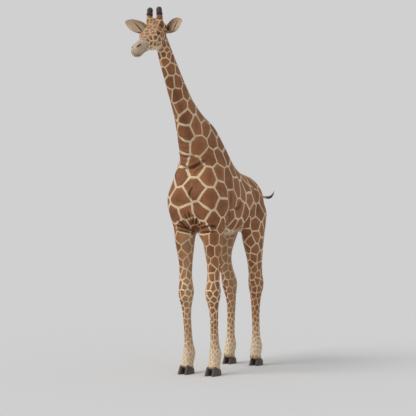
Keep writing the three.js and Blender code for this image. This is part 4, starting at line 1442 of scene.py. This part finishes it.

# %% [markdown]
# The back of an ear is brown, mottled with cream and paler towards the tip, and its rim is dark. The inside
# is pale, with painted shade in the slit and down towards the ear canal. Numbers stored on the blade tell its
# material the share of the ear's length, how far in from the rim a point is and on which side, and how much
# of it is slit.

# %% The paint of the ears
ear_paint = Paint("ear_coat")
share, hollow, slit = (ear_paint.stored(key) for key in ("share", "hollow", "slit"))
place = ear_paint.place()
mottle = ear_paint.noise(place, 16.0)
hairs = ear_paint.noise(ear_paint.scaled(place, (70.0, 420.0, 420.0)), 1.0, detail=2.0)
# Painted shade: the inside of the ear darkens down the slit and the funnel towards the ear canal.
slit_and_canal_shade = (share.between(0.42, 0.12) * hollow.between(0.15, 0.85) + slit.between(0.05, 0.95) * 0.95).clamped()
inner = ear_paint.mixed(mottle, (0.720, 0.560, 0.400), (0.560, 0.395, 0.250))
inner = ear_paint.mixed(hollow.between(0.35, 0.95) * 0.35, inner, (0.430, 0.270, 0.170))
inner = ear_paint.mixed(slit_and_canal_shade * 0.92, inner, (0.060, 0.028, 0.018))
outer = ear_paint.mixed(share.between(0.25, 0.85), (0.330, 0.150, 0.062), (0.560, 0.390, 0.235))
outer = ear_paint.mixed(mottle.between(0.40, 0.60) * 0.6, outer, (0.640, 0.480, 0.300))
rim = hollow.between(0.14, 0.02) * hollow.between(-1.22, -1.04)
colour = ear_paint.mixed(hollow.between(-0.9, -0.1), outer, inner)
colour = ear_paint.mixed(rim * 0.65, colour, (0.170, 0.082, 0.040))
colour = ear_paint.shaded(colour, 0.82 + hairs * 0.36)
ear_paint.feed(ear_paint.surface.inputs["Base Color"], colour)
ear_paint.feed(ear_paint.surface.inputs["Roughness"], 0.66 + hairs * 0.2)
ear_paint.bumped(hairs, 0.0012, 0.5)
print("ear paint of", len(ear_paint.tree.nodes), "nodes")

# %% Both ears
ears = {side: ear_blade(side, f"ear_{name}_blade") for side, name in SIDES}
for side, name in SIDES:
    placed(ears[side], f"ear_{name}_blade", "coat", [f"ear_{name}"], ear_paint.material)
print("ear blades of", [len(blade.polygons) for blade in ears.values()], "faces")

# %% [markdown]
# The ossicones of a bull are worn bald by fighting, and their tops are dark, rubbed and a little lumpy. The
# claws of the hooves are horn too, streaked from the coronet to the sole and scuffed at the ground. One paint
# serves both: it is told how the streaks run and where the horn is worn.

# %% The paint of horn
def horn_like(name, dark, light, scuff, stretch, roughness):
    """Horn: dark, with streaks along its growth and pale scuffs where it is worn."""
    paint = Paint(name)
    place, share = paint.place(), paint.stored("share")
    streaks = paint.noise(paint.scaled(place, stretch), 1.0, detail=4.0, roughness=0.65)
    clouds = paint.noise(place, 30.0, detail=3.0)
    worn = paint.noise(place, 75.0, detail=4.0, roughness=0.7)
    colour = paint.mixed(streaks.between(0.30, 0.72), dark, light)
    colour = paint.mixed(clouds.between(0.45, 0.75) * 0.5, colour, dark)
    marks = worn.between(0.54, 0.70) * (0.25 + 0.75 * scuff(share))
    colour = paint.mixed(marks * 0.5, colour, (0.230, 0.185, 0.145))
    paint.feed(paint.surface.inputs["Base Color"], colour)
    paint.feed(paint.surface.inputs["Roughness"], roughness + streaks * 0.25 - marks * 0.1)
    paint.bumped(streaks + worn * 0.8, 0.0016, 0.6)
    return paint


horn_paint = horn_like("worn_horn", (0.022, 0.016, 0.013), (0.080, 0.055, 0.040),
                       lambda share: share.between(0.86, 0.99), (160.0, 160.0, 26.0), 0.42)
hoof_paint = horn_like("hoof_horn", (0.040, 0.030, 0.024), (0.115, 0.082, 0.060),
                       lambda share: share.between(0.35, 0.02), (190.0, 190.0, 22.0), 0.40)
print("horn paint of", len(horn_paint.tree.nodes), "nodes")

# %% The bare tops of the ossicones
HORN = [
    # share of the ossicone's length, radius
    (0.30, 0.034), (0.45, 0.0365), (0.58, 0.0368), (0.70, 0.0372), (0.80, 0.0380), (0.88, 0.0366),
    (0.935, 0.0318), (0.97, 0.0236), (0.99, 0.0130), (0.998, 0.0050),
]


def wobble(points, size, height):
    """A few crossed sine waves, as a cheap lumpy noise that is the same at each run."""
    p = points / size
    first = np.sin(p[:, 0] * 2.1 + 1.3 * np.sin(p[:, 2] * 1.7)) * np.sin(p[:, 1] * 1.9 + p[:, 2] * 0.8)
    second = np.sin(p[:, 2] * 2.7 + p[:, 0] * 1.1) * np.sin(p[:, 1] * 3.1 - p[:, 0] * 1.4)
    return height * (first + 0.6 * second)


horn_at, horn_radii = zip(*HORN)
places = np.linspace(horn_at[0], horn_at[-1], 46)
profile = list(zip(places, smooth_through(horn_at, horn_radii, places)))
for side, name in SIDES:
    base, tip = mirrored(OSSICONE_BASE, side), mirrored(OSSICONE_TIP, side)
    mesh = lofted(stalk(base, tip, profile, sides=48), f"ossicone_{name}_horn")
    points, normals = points_of(mesh), normals_of(mesh)
    share = (points - base) @ (tip - base) / ((tip - base) @ (tip - base))
    lumps = wobble(points, 0.012, 0.0006) + wobble(points, 0.030, 0.0009)
    lumps = lumps * rising(share, 0.5, 0.7) * rising(share, 1.0, 0.93)
    move_points(mesh, points + normals * lumps[:, None])
    store(mesh, "share", share)
    placed(mesh, f"ossicone_{name}_horn", "ossicone", [f"ossicone_{name}"], horn_paint.material)
print("horn tops of", len(mesh.polygons), "faces each")

# %% [markdown]
# Each foot of a giraffe is two claws of horn side by side. Here each is lofted from its flat sole up to the
# coronet, where it goes in under the skin. The toe wall leans back and carries faint growth rings, and a claw
# is a little flatter where it faces its neighbour.

# %% The claws of the hooves
CLAW_SHARES = [0, 0.012, 0.04, *np.linspace(0.09, 1.0, 22), 1.15, 1.22]  # of its height under the coronet
CLAW_SLOPE = math.tan(math.radians(17))  # how a claw's top falls towards the heel
turns = np.linspace(0, 2 * np.pi, 44, endpoint=False)
x, y = np.cos(turns), np.sin(turns)
x = np.sign(x) * np.abs(x) ** (2 / 2.3)
CLAW_Y = np.sign(y) * np.abs(y) ** (2 / 2.4)
CLAW_X = x * (1 - 0.20 * np.clip(-CLAW_Y, 0, 1) ** 2)


def claw(node, foot_y, name):
    """A claw with a flat sole, a straight toe wall with growth rings, and a sloping top."""
    (left, front, _), (right, rear, _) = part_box(node)
    middle, half = (left + right) / 2, (right - left) / 2
    toward_cleft = -math.copysign(1, middle) * (1 if "outer" in node else -1)
    x = np.where(CLAW_X * toward_cleft > 0, CLAW_X * 0.94, CLAW_X)
    rings = []
    for share in CLAW_SHARES:
        inset = 0.003 if share == 0 else 0.0008 if share < 0.02 else 0
        inset += 0.012 * max(share - 1, 0) / 0.22
        toe = front + 0.056 * share + 0.006 * share**2 + inset
        heel = rear - 0.012 * share - inset
        across = half * (1 - 0.18 * share) - inset
        ringed = 0.0005 * (math.sin(share * 41) + 0.7 * math.sin(share * 23 + 1)) * min(share * 8, 1)
        ringed *= share <= 1
        px = middle + x * (across + ringed)
        py = (toe + heel) / 2 + CLAW_Y * ((heel - toe) / 2 + ringed)
        top = CORONET["height"] - CLAW_SLOPE * (py - foot_y)
        rings.append(np.stack([px, py, share * top], axis=1))
    mesh = lofted(rings, name)
    store(mesh, "share", np.repeat(CLAW_SHARES, len(CLAW_X)))
    return mesh


for foot in FEET:
    for part in ("inner", "outer"):
        node = f"hoof_{foot}_{part}"
        mesh = claw(node, FORE_Y if "fore" in foot else HIND_Y, f"{node}_claw")
        placed(mesh, f"{node}_claw", "hoof", [node], hoof_paint.material)
print(2 * len(FEET), "claws of", len(mesh.polygons), "faces each")

# %% [markdown]
# A giraffe's mane is a short stiff brush along the crest of its neck. Each lock takes its colour from the
# coat beside it: brown by a patch, paler where the net crosses. The roots are picked from the skin's own
# points along the crest. The locks stand square to it and lean back a little, and they shorten at both ends
# of the mane.

# %% Helpers for long hair
def bare_patch(count, corner, size):
    """Places for the roots of locks that share one square of the unwrap."""
    side = int(math.ceil(math.sqrt(count)))
    k = np.arange(count)
    return np.array(corner) + np.stack([k % side, k // side], axis=1) * size / side


def hair_paint(name, root, tip, other, roughness):
    """Hair that changes from root to tip, lock by lock, with fine streaks along it."""
    paint = Paint(name)
    tone, tipward, light = map(paint.stored, ("tone", "tipward", "light"))
    strands = paint.noise(paint.place(), 900.0, detail=2.0)
    colour = paint.mixed(tipward.between(0.15, 0.95), paint.mixed(tone, root, other), tip)
    colour = paint.mixed(light * (1.0 - 0.55 * tipward), colour, (0.560, 0.385, 0.215))
    colour = paint.shaded(colour, 0.72 + strands * 0.56)
    paint.feed(paint.surface.inputs["Base Color"], colour)
    paint.feed(paint.surface.inputs["Roughness"], roughness + strands * 0.2)
    return paint


mane_paint = hair_paint("mane_hair", (0.340, 0.135, 0.048), (0.140, 0.054, 0.022), (0.230, 0.085, 0.030), 0.6)
print("hair paint of", len(mane_paint.tree.nodes), "nodes")

# %% The mane
(_, mane_front, mane_low), (_, mane_rear, mane_top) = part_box("mane")
crest = (np.abs(skin_points[:, 0]) < 0.020) & (skin_normals @ [0, 0.85, 0.53] > 0.80)
crest &= (skin_points[:, 2] > mane_low) & (skin_points[:, 2] < mane_top - 0.03)
crest &= (skin_points[:, 1] > mane_front - 0.02) & (skin_points[:, 1] < mane_rear + 0.02)
crest = np.flatnonzero(crest)
print("mane between heights", round(mane_low, 2), "and", round(mane_top, 2), "over", len(crest), "points")
picks = chance.choice(crest, 8000)
jitter = chance.normal(0, 1, (len(picks), 3))
roots = skin_points[picks] + jitter * 0.005
roots[:, 0] = np.clip(roots[:, 0], -0.013, 0.013)
rise = skin_normals[picks] * [0.3, 1, 1]
rise /= np.linalg.norm(rise, axis=1, keepdims=True)
fade = rising(roots[:, 2], mane_low, mane_low + 0.20) * rising(roots[:, 2], mane_top, mane_top - 0.15)
tall = (0.030 + 0.010 * chance.random(len(picks))) * (0.25 + 0.75 * fade)
lean = np.array([0, 0.55, -0.5])
steps = np.linspace(0, 1, 4)[None, :, None]
tall = tall[:, None, None]
paths = roots[:, None] - rise[:, None] * 0.006 + steps * tall * rise[:, None] + 0.22 * steps**2 * tall * lean
paths = paths + steps * jitter[:, None] * [0.0035, 0.002, 0.002]
mane_marks = {"tone": chance.random(len(picks)), "light": rising(skin_marks["patch"][picks], 0.006, -0.002)}
mane_mesh = locks("mane_locks", paths, np.full(len(picks), 0.0042), np.tile([0.5, 1, 0], (len(picks), 1)),
                  mane_marks, bare_patch(len(picks), (0.70, 0.70), 0.12))
placed(mane_mesh, "mane_locks", "hair", ["mane"], mane_paint.material)
print("mane of", len(picks), "locks")

# %% [markdown]
# The tail ends in a long dark tuft. Its locks start along the last stretch of the tail and follow one curved
# line, each with its own start, length and place round that line, so that they fray out and meet in a point.

# %% The tuft of the tail
tuft_paint = hair_paint("tail_hair", (0.060, 0.030, 0.016), (0.018, 0.011, 0.008), (0.026, 0.016, 0.011), 0.5)
TUFT_LINE = body([[0, 2.10, 2.528], [0, 2.20, 2.523], [0, 2.30, 2.524], [0, 2.38, 2.541], [0, 2.44, 2.575],
                  [0, 2.480, 2.610], [0, 2.497, 2.634]])
TUFT_AT = [0.0, 0.24, 0.46, 0.66, 0.82, 0.94, 1.0]
number = 900
starts = chance.random(number) ** 1.3 * 0.62
reach = np.minimum(0.34 + 0.25 * chance.random(number), 1.0 - starts)
turns = chance.random(number) * 2 * np.pi
rims = 0.4 + 0.6 * np.sqrt(chance.random(number))
share = np.linspace(0, 1, 7)
paths = np.empty((number, 7, 3))
for k, step in enumerate(share):
    at = np.clip(starts + reach * step, 0, 1)
    middle = np.stack([smooth_through(TUFT_AT, column, at) for column in TUFT_LINE.T], axis=1)
    room = smooth_through(TUFT_AT, [0.014, 0.018, 0.021, 0.019, 0.013, 0.007, 0.002], at) * rims
    swell = room * (0.72 + 0.28 * math.sin(math.pi * min(step * 1.2, 1)))
    paths[:, k] = middle + np.stack([np.cos(turns) * swell * 0.9, 0 * at, np.sin(turns) * swell], axis=1)
tuft_mesh = locks("tail_tuft_locks", paths, 0.0036 + 0.002 * chance.random(number),
                  np.stack([-np.sin(turns), 0 * turns, np.cos(turns)], axis=1),
                  {"tone": chance.random(number), "light": 0.12 * chance.random(number) ** 4},
                  bare_patch(number, (0.84, 0.70), 0.10))
placed(tuft_mesh, "tail_tuft_locks", "hair", ["tail_tuft"], tuft_paint.material)
print("tail tuft of", number, "locks")

# %% [markdown]
# The coat itself is short and lies flat, so most of it is grain in the paint. Tufts of it are real: thin
# spikes along the lie of the hair, which roughen every outline and edge. Their roots are scattered over the
# skin, more closely where the hair is shorter, and each takes the markings of the skin at its root.

# %% The lie of the hair
def lie_of_hair(points, normals):
    """The way that hair lies at each point: down the neck and legs, back and down over the trunk."""
    _, y, z = on_body(points).T
    neck = rising(z + 1.2 * y, 2.7, 3.2)[:, None] * (y < 0.35)[:, None]
    leg = rising(z, 2.15, 1.85)[:, None]
    head = (rising(on_face(points)[:, 1], -0.06, 0.04) * rising(z, 4.1, 4.3))[:, None]
    tail = in_tail(points)[:, None]
    way = np.array([0, 0.88, -0.42]) * (1 - neck) + np.array([0, 0.50, -0.86]) * neck
    way = way * (1 - leg) + np.array([0, 0.12, -1.0]) * leg
    way = way * (1 - head) + (DOWN_FACE - 0.25 * OFF_FACE) * head
    way = way * (1 - tail) + np.array([0, 1.0, 0]) * tail
    way = way - (way * normals).sum(axis=1, keepdims=True) * normals
    return way / (np.linalg.norm(way, axis=1, keepdims=True) + 1e-9)


print("hair of a leg lies", lie_of_hair(body([[0.2, 0, 1.2]]), np.array([[0, -1, 0]])).round(2)[0])

# %% [markdown]
# Colours can be baked only where every face has a place of its own on a map. Unwrapping the whole skin by
# seams would be slow, so each part of the body is unrolled round a straight line into its own ninth of the
# map: the trunk, the neck, the head, the tail and four legs. A tuft's place follows from where its root lies.

# %% Where a point lies on the unwrapped skin
def about(points, middle, axis, start):
    """The turn of each point round an axis, and how far along it."""
    axis = unit(axis)
    start = unit(np.asarray(start) - (np.asarray(start) @ axis) * axis)
    away = points - middle
    turn = np.arctan2(away @ np.cross(axis, start), away @ start) / (2 * np.pi) + 0.5
    return turn, away @ axis


def unwrapped(points):
    """Every part of the body unrolls into its own ninth of the map."""
    x, y, z = on_body(points).T
    along = on_face(points)[:, 1]
    rolls = [
        # tile, chosen points, middle, axis, start, lowest and highest along the axis
        (0, np.ones(len(points), bool), body([0, 0.6, 2.6]), (0, 1, 0), (0, 0, -1), -1.1, 1.3),
        (1, (z + 1.2 * y > 2.9) & (y < 0.3), body([0, -0.6, 3.8]), (0, -0.53, 0.85), (0, -1, 0), -1.3, 1.1),
        (2, (along > -0.05) & (z > 4.15), POLL - 0.1 * OFF_FACE, DOWN_FACE, -OFF_FACE, -0.1, 0.8),
        (7, (y > 1.78) & (z > 2.3), body([0, 1.7, 2.53]), (0, 1, 0), (0, 0, -1), 0.0, 0.9),
    ]
    for k, (across, middle) in enumerate(((0.213, 0.0), (-0.213, 0.0), (0.223, 1.4), (-0.223, 1.4))):
        leg = (z < 2.0) & (np.sign(x) == np.sign(across)) & ((y < 0.7) == (middle < 0.7))
        rolls.append((3 + k, leg, body([across, middle, 0]), (0, 0, 1), (-np.sign(across), 0, 0), 0.0, 2.0))
    places = np.zeros((len(points), 2))
    for tile, chosen, middle, axis, start, low, high in rolls:
        turn, far = about(points[chosen], middle, axis, start)
        corner = np.array([tile % 3, tile // 3]) / 3 + 0.008
        share = np.stack([turn, np.clip((far - low) / (high - low), 0, 1)], axis=1)
        places[chosen] = corner + share * 0.312
    return places


print("the poll lies at", unwrapped(POLL[None])[0].round(2), "on the map")

# %% Roots scattered over the skin
def corner_table(mesh):
    """The corners of every triangle of a mesh."""
    mesh.calc_loop_triangles()
    corners = np.empty(len(mesh.loop_triangles) * 3, np.int32)
    mesh.loop_triangles.foreach_get("vertices", corners)
    return corners.reshape(-1, 3)


triangles = corner_table(skin_mesh)
middles = skin_points[triangles].mean(axis=1)
spread = np.cross(skin_points[triangles[:, 1]] - skin_points[triangles[:, 0]],
                  skin_points[triangles[:, 2]] - skin_points[triangles[:, 0]])
areas = np.linalg.norm(spread, axis=1) / 2
scatter = np.random.default_rng(23)


def rooted(number, density):
    """Roots, normals and markings at places picked by a density given for each triangle."""
    odds = areas * density
    pick = scatter.choice(len(triangles), number, p=odds / odds.sum())
    weights = scatter.dirichlet([1, 1, 1], number)
    corners = triangles[pick]
    roots = (skin_points[corners] * weights[:, :, None]).sum(axis=1)
    normals = (skin_normals[corners] * weights[:, :, None]).sum(axis=1)
    normals /= np.linalg.norm(normals, axis=1, keepdims=True)
    marks = {name: (values[corners] * weights).sum(axis=1) for name, values in skin_marks.items()}
    marks["tone"] = skin_marks["tone"][corners[:, 0]]
    return roots, normals, marks


print(len(triangles), "triangles for roots")


# %% Short flat tufts
def flat_tufts(name, number, density, length, width, lift):
    """One piece of coat: tufts that lie along the hair and rise a little to their tips."""
    roots, normals, marks = rooted(number, density)
    way = lie_of_hair(roots, normals)
    sideways = np.cross(normals, way)
    way = way + sideways * scatter.normal(0, 0.16, number)[:, None]
    long = (length(roots) if callable(length) else length) * scatter.uniform(0.75, 1.2, number)
    long = long[:, None, None]
    share = np.array([0.0, 1.0])[None, :, None]
    rise = normals[:, None] * (long * lift) * share
    paths = roots[:, None] - 0.0012 * normals[:, None] + way[:, None] * share * long + rise
    widths = width * scatter.uniform(0.8, 1.2, number)
    mesh = locks(name, paths, widths, sideways, marks, unwrapped(roots), normals, deep=0.4)
    placed(mesh, name, "coat", [], coat.material)


def zone(points):
    """Which points are on the head, the neck, the fore legs, the hind legs, the tail and the trunk."""
    _, y, z = on_body(points).T
    along = on_face(points)[:, 1]
    head = (along > -0.02) & (z > 4.15)
    neck = (z + 1.2 * y > 3.0) & (y < 0.25) & ~head
    legs = (z < 2.0) & ~head
    tail = (y > 1.78) & (z > 2.3)
    return {"head": head, "neck": neck, "fore": legs & (y < 0.7), "hind": legs & (y >= 0.7), "tail": tail,
            "trunk": ~(head | neck | legs | tail)}


part = zone(middles)
print({name: int(chosen.sum()) for name, chosen in part.items()}, "triangles")

# %% The coat's tufts, part by part
face_far = on_face(middles)[:, 1]
near_eye = np.zeros(len(middles), bool)
for side, _ in SIDES:
    near_eye |= np.linalg.norm(middles - eye_axes(side)[0], axis=1) < 0.031
bald = near_eye | (skin_marks["dark"][triangles].max(axis=1) > 0.25) | (middles[:, 2] < 0.085)
low = middles[:, 2]


def by_height(points):
    """Hair of the legs shortens towards the feet."""
    return np.interp(points[:, 2], [0.1, 0.4, 1.2, 2.0], [0.009, 0.011, 0.015, 0.022])


def on_head(points):
    """Hair of the head shortens towards the lips."""
    return np.interp(on_face(points)[:, 1], [0.0, 0.3, 0.5, 0.7], [0.0125, 0.0095, 0.0070, 0.0045])


COAT = [
    # name, number of tufts, where, length, width, lift
    ("coat_trunk", 40000, part["trunk"], 0.026, 0.0030, 0.10),
    ("coat_neck", 26000, part["neck"], 0.022, 0.0027, 0.10),
    ("coat_head", 30000, part["head"] * (1 + 1.5 * (face_far > 0.3)), on_head, 0.0013, 0.14),
    ("coat_fore_legs", 22000, part["fore"] * (1.0 + 2.0 * (low < 1.0)), by_height, 0.0021, 0.12),
    ("coat_hind_legs", 22000, part["hind"] * (1.0 + 2.0 * (low < 1.0)), by_height, 0.0021, 0.12),
    ("coat_tail", 2500, part["tail"], 0.020, 0.0024, 0.10),
]
for name, number, density, length, width, lift in COAT:
    flat_tufts(name, number, density * ~bald, length, width, lift)
print(sum(row[1] for row in COAT), "flat tufts")

# %% [markdown]
# Where the coat breaks the form it is longer: over the hooves, behind the fetlocks, along the belly and under
# the chin. These tufts bend along a path of a few steps, and most of them hang the way that gravity takes
# them.

# %% Longer tufts at the edges of the form
def fringe(name, number, density, length, width, lift, way=None, steps=3, dark=None):
    """Tufts of a few steps that hang or stand out more than the flat coat."""
    roots, normals, marks = rooted(number, density * ~bald)
    lie = lie_of_hair(roots, normals) if way is None else np.tile(way, (number, 1)).astype(float)
    lie = lie + scatter.normal(0, 0.13, (number, 3))
    long = (length * scatter.uniform(0.6, 1.15, number))[:, None, None]
    share = np.linspace(0, 1, steps)[None, :, None]
    paths = roots[:, None] - 0.0015 * normals[:, None] + lie[:, None] * long * share
    paths = paths + normals[:, None] * long * lift * np.sin(share * np.pi * 0.6)
    if dark is not None:
        marks["dark"] = np.full(number, dark)
    sideways = np.cross(normals, lie)
    mesh = locks(name, paths, np.full(number, width), sideways, marks, unwrapped(roots), normals, deep=0.5)
    placed(mesh, name, "coat", [], coat.material)


x_mid, y_mid, z_mid = on_body(middles).T
facing = skin_normals[triangles[:, 0]]
above = above_coronet(middles)
over_hooves = (above < 0.040) & (above > 0.002)
behind_fetlocks = (z_mid > 0.20) & (z_mid < 0.34) & (facing[:, 1] > 0.75)
under_belly = (np.abs(x_mid) < 0.10) & (y_mid > 0.12) & (y_mid < 1.05) & (facing[:, 2] < -0.8) & (z_mid > 1.8)
on_chin = (face_far > 0.56) & (face_far < 0.72) & (facing[:, 2] < -0.55)
FRINGES = [
    # name, number of tufts, where, length, width, lift, way
    ("coat_coronets", 3200, over_hooves, 0.026, 0.0026, 0.20, (0, 0, -1.0)),
    ("coat_fetlocks", 900, behind_fetlocks, 0.032, 0.0022, 0.25, (0, 0.35, -1.0)),
    ("coat_belly", 2600, under_belly, 0.036, 0.0030, 0.35, (0, 0.75, -0.35)),
    ("coat_chin", 700, on_chin, 0.014, 0.0010, 0.60, None),
]
for row in FRINGES:
    fringe(*row)
print(sum(row[1] for row in FRINGES), "longer tufts")

# %% [markdown]
# Hair grows on the small pieces too: lashes on the upper lids, rows of hair in the ears and round their rims,
# and a dark fringe where the haired sleeves of the ossicones give way to bare horn.

# %% Lashes
lash_paint = hair_paint("lashes", (0.020, 0.012, 0.009), (0.008, 0.005, 0.004), (0.030, 0.018, 0.012), 0.5)
number = 110
for side, name in SIDES:
    _, looks, corner, _ = eye_axes(side)
    turns = np.radians(np.linspace(24, 150, number) + scatter.normal(0, 1.5, number))
    roots = np.array([around_eye(side, turn, math.radians(2.2), 0.0018) for turn in turns])
    out = unit(looks) + 0.55 * unit(corner) * np.cos(turns)[:, None]
    long = scatter.uniform(0.014, 0.024, number)[:, None, None]
    share = np.linspace(0, 1, 5)[None, :, None]
    out = out + scatter.normal(0, 0.10, (number, 3))
    droop = np.array([0, 0, -0.62])
    paths = roots[:, None] + long * (share * out[:, None] * 0.85 + share**0.8 * droop)
    mesh = locks(f"eye_{name}_lashes", paths, np.full(number, 0.0010), np.tile(corner, (number, 1)),
                 {"tone": scatter.random(number), "light": np.zeros(number)}, unwrapped(roots))
    placed(mesh, f"eye_{name}_lashes", "hair", [], lash_paint.material)
print(number, "lashes on each eye")


# %% Hair of the ears
def values_of(mesh, name):
    """The numbers that are stored on the points of a mesh under a name."""
    values = np.empty(len(mesh.vertices), np.float32)
    mesh.attributes[name].data.foreach_get("value", values)
    return values


def ear_hair(side, name):
    """Hair on both sides of an ear, longer and paler inside it, and a fringe round its rim."""
    blade = ears[side]
    points, normals = points_of(blade), normals_of(blade)
    share, hollow = values_of(blade, "share"), values_of(blade, "hollow")
    root, axis, _, wide = ear_frame(side)
    rim = ((np.abs(hollow) < 0.06) | (np.abs(hollow + 1) < 0.06)) & (share > 0.12)
    inside = (hollow > 0.12) & (hollow < 0.75) & (share > 0.14) & (share < 0.72)
    back = (hollow < -1) & (share > 0.08)
    kinds = (
        # where, how many, length, width, how far raised
        (rim, 1300, 0.014, 0.0008, 0.20), (inside, 900, 0.028, 0.0008, 0.30),
        (back, 3000, 0.011, 0.0012, 0.12),
    )
    rows = []
    for chosen, number, length, width, raised in kinds:
        pick = scatter.choice(np.flatnonzero(chosen), number)
        out_of = np.sign((points[pick] - root) @ wide)[:, None] * wide * (0.45 if chosen is rim else -0.15)
        way = unit(axis) + out_of + scatter.normal(0, 0.20, (number, 3))
        facing = normals[pick]
        way = way - 0.8 * (way * facing).sum(axis=1, keepdims=True) * facing
        long = (length * scatter.uniform(0.5, 1.2, number) * (1.15 - 0.6 * share[pick]))[:, None, None]
        places = points[pick] + scatter.normal(0, 0.0015, (number, 3)) * (chosen is not rim)
        along = np.linspace(0, 1, 4)[None, :, None]
        paths = places[:, None] - 0.0008 * facing[:, None] + long * along * way[:, None]
        paths = paths + long * raised * facing[:, None] * along * (1.3 - along)
        rows.append((paths, np.full(number, width), np.cross(facing, way), share[pick], hollow[pick]))
    paths, width, across, share, hollow = map(np.concatenate, zip(*rows))
    corner = np.array([0.70 if side > 0 else 0.85, 0.845])
    patch = corner + 0.13 * np.stack([share, (hollow + 2) / 3], axis=1)
    marks = {"share": share, "hollow": hollow, "slit": 0 * share}
    mesh = locks(f"ear_{name}_hair", paths, width, across, marks, patch)
    placed(mesh, f"ear_{name}_hair", "coat", [], ear_paint.material)
    return len(paths)


for side, name in SIDES:
    print(ear_hair(side, name), "hairs on the", name, "ear")

# %% The dark fringe of the ossicones
for side, name in SIDES:
    base, tip = mirrored(OSSICONE_BASE, side), mirrored(OSSICONE_TIP, side)
    stem = tip - base
    share = (middles - base) @ stem / (stem @ stem)
    off = np.linalg.norm(middles - base - share[:, None] * stem, axis=1)
    sleeve = (off > 0.0366) & (off < 0.06) & (share > 0.3) & (share < 0.9)
    ends = sleeve & (share > share[sleeve].max() - 0.07)
    fringe(f"ossicone_{name}_fringe", 1800, ends, 0.022, 0.0016, 0.30, unit(stem), steps=4, dark=0.85)
print("fringes from", share[ends].min().round(2), "to", share[ends].max().round(2), "of the ossicones")
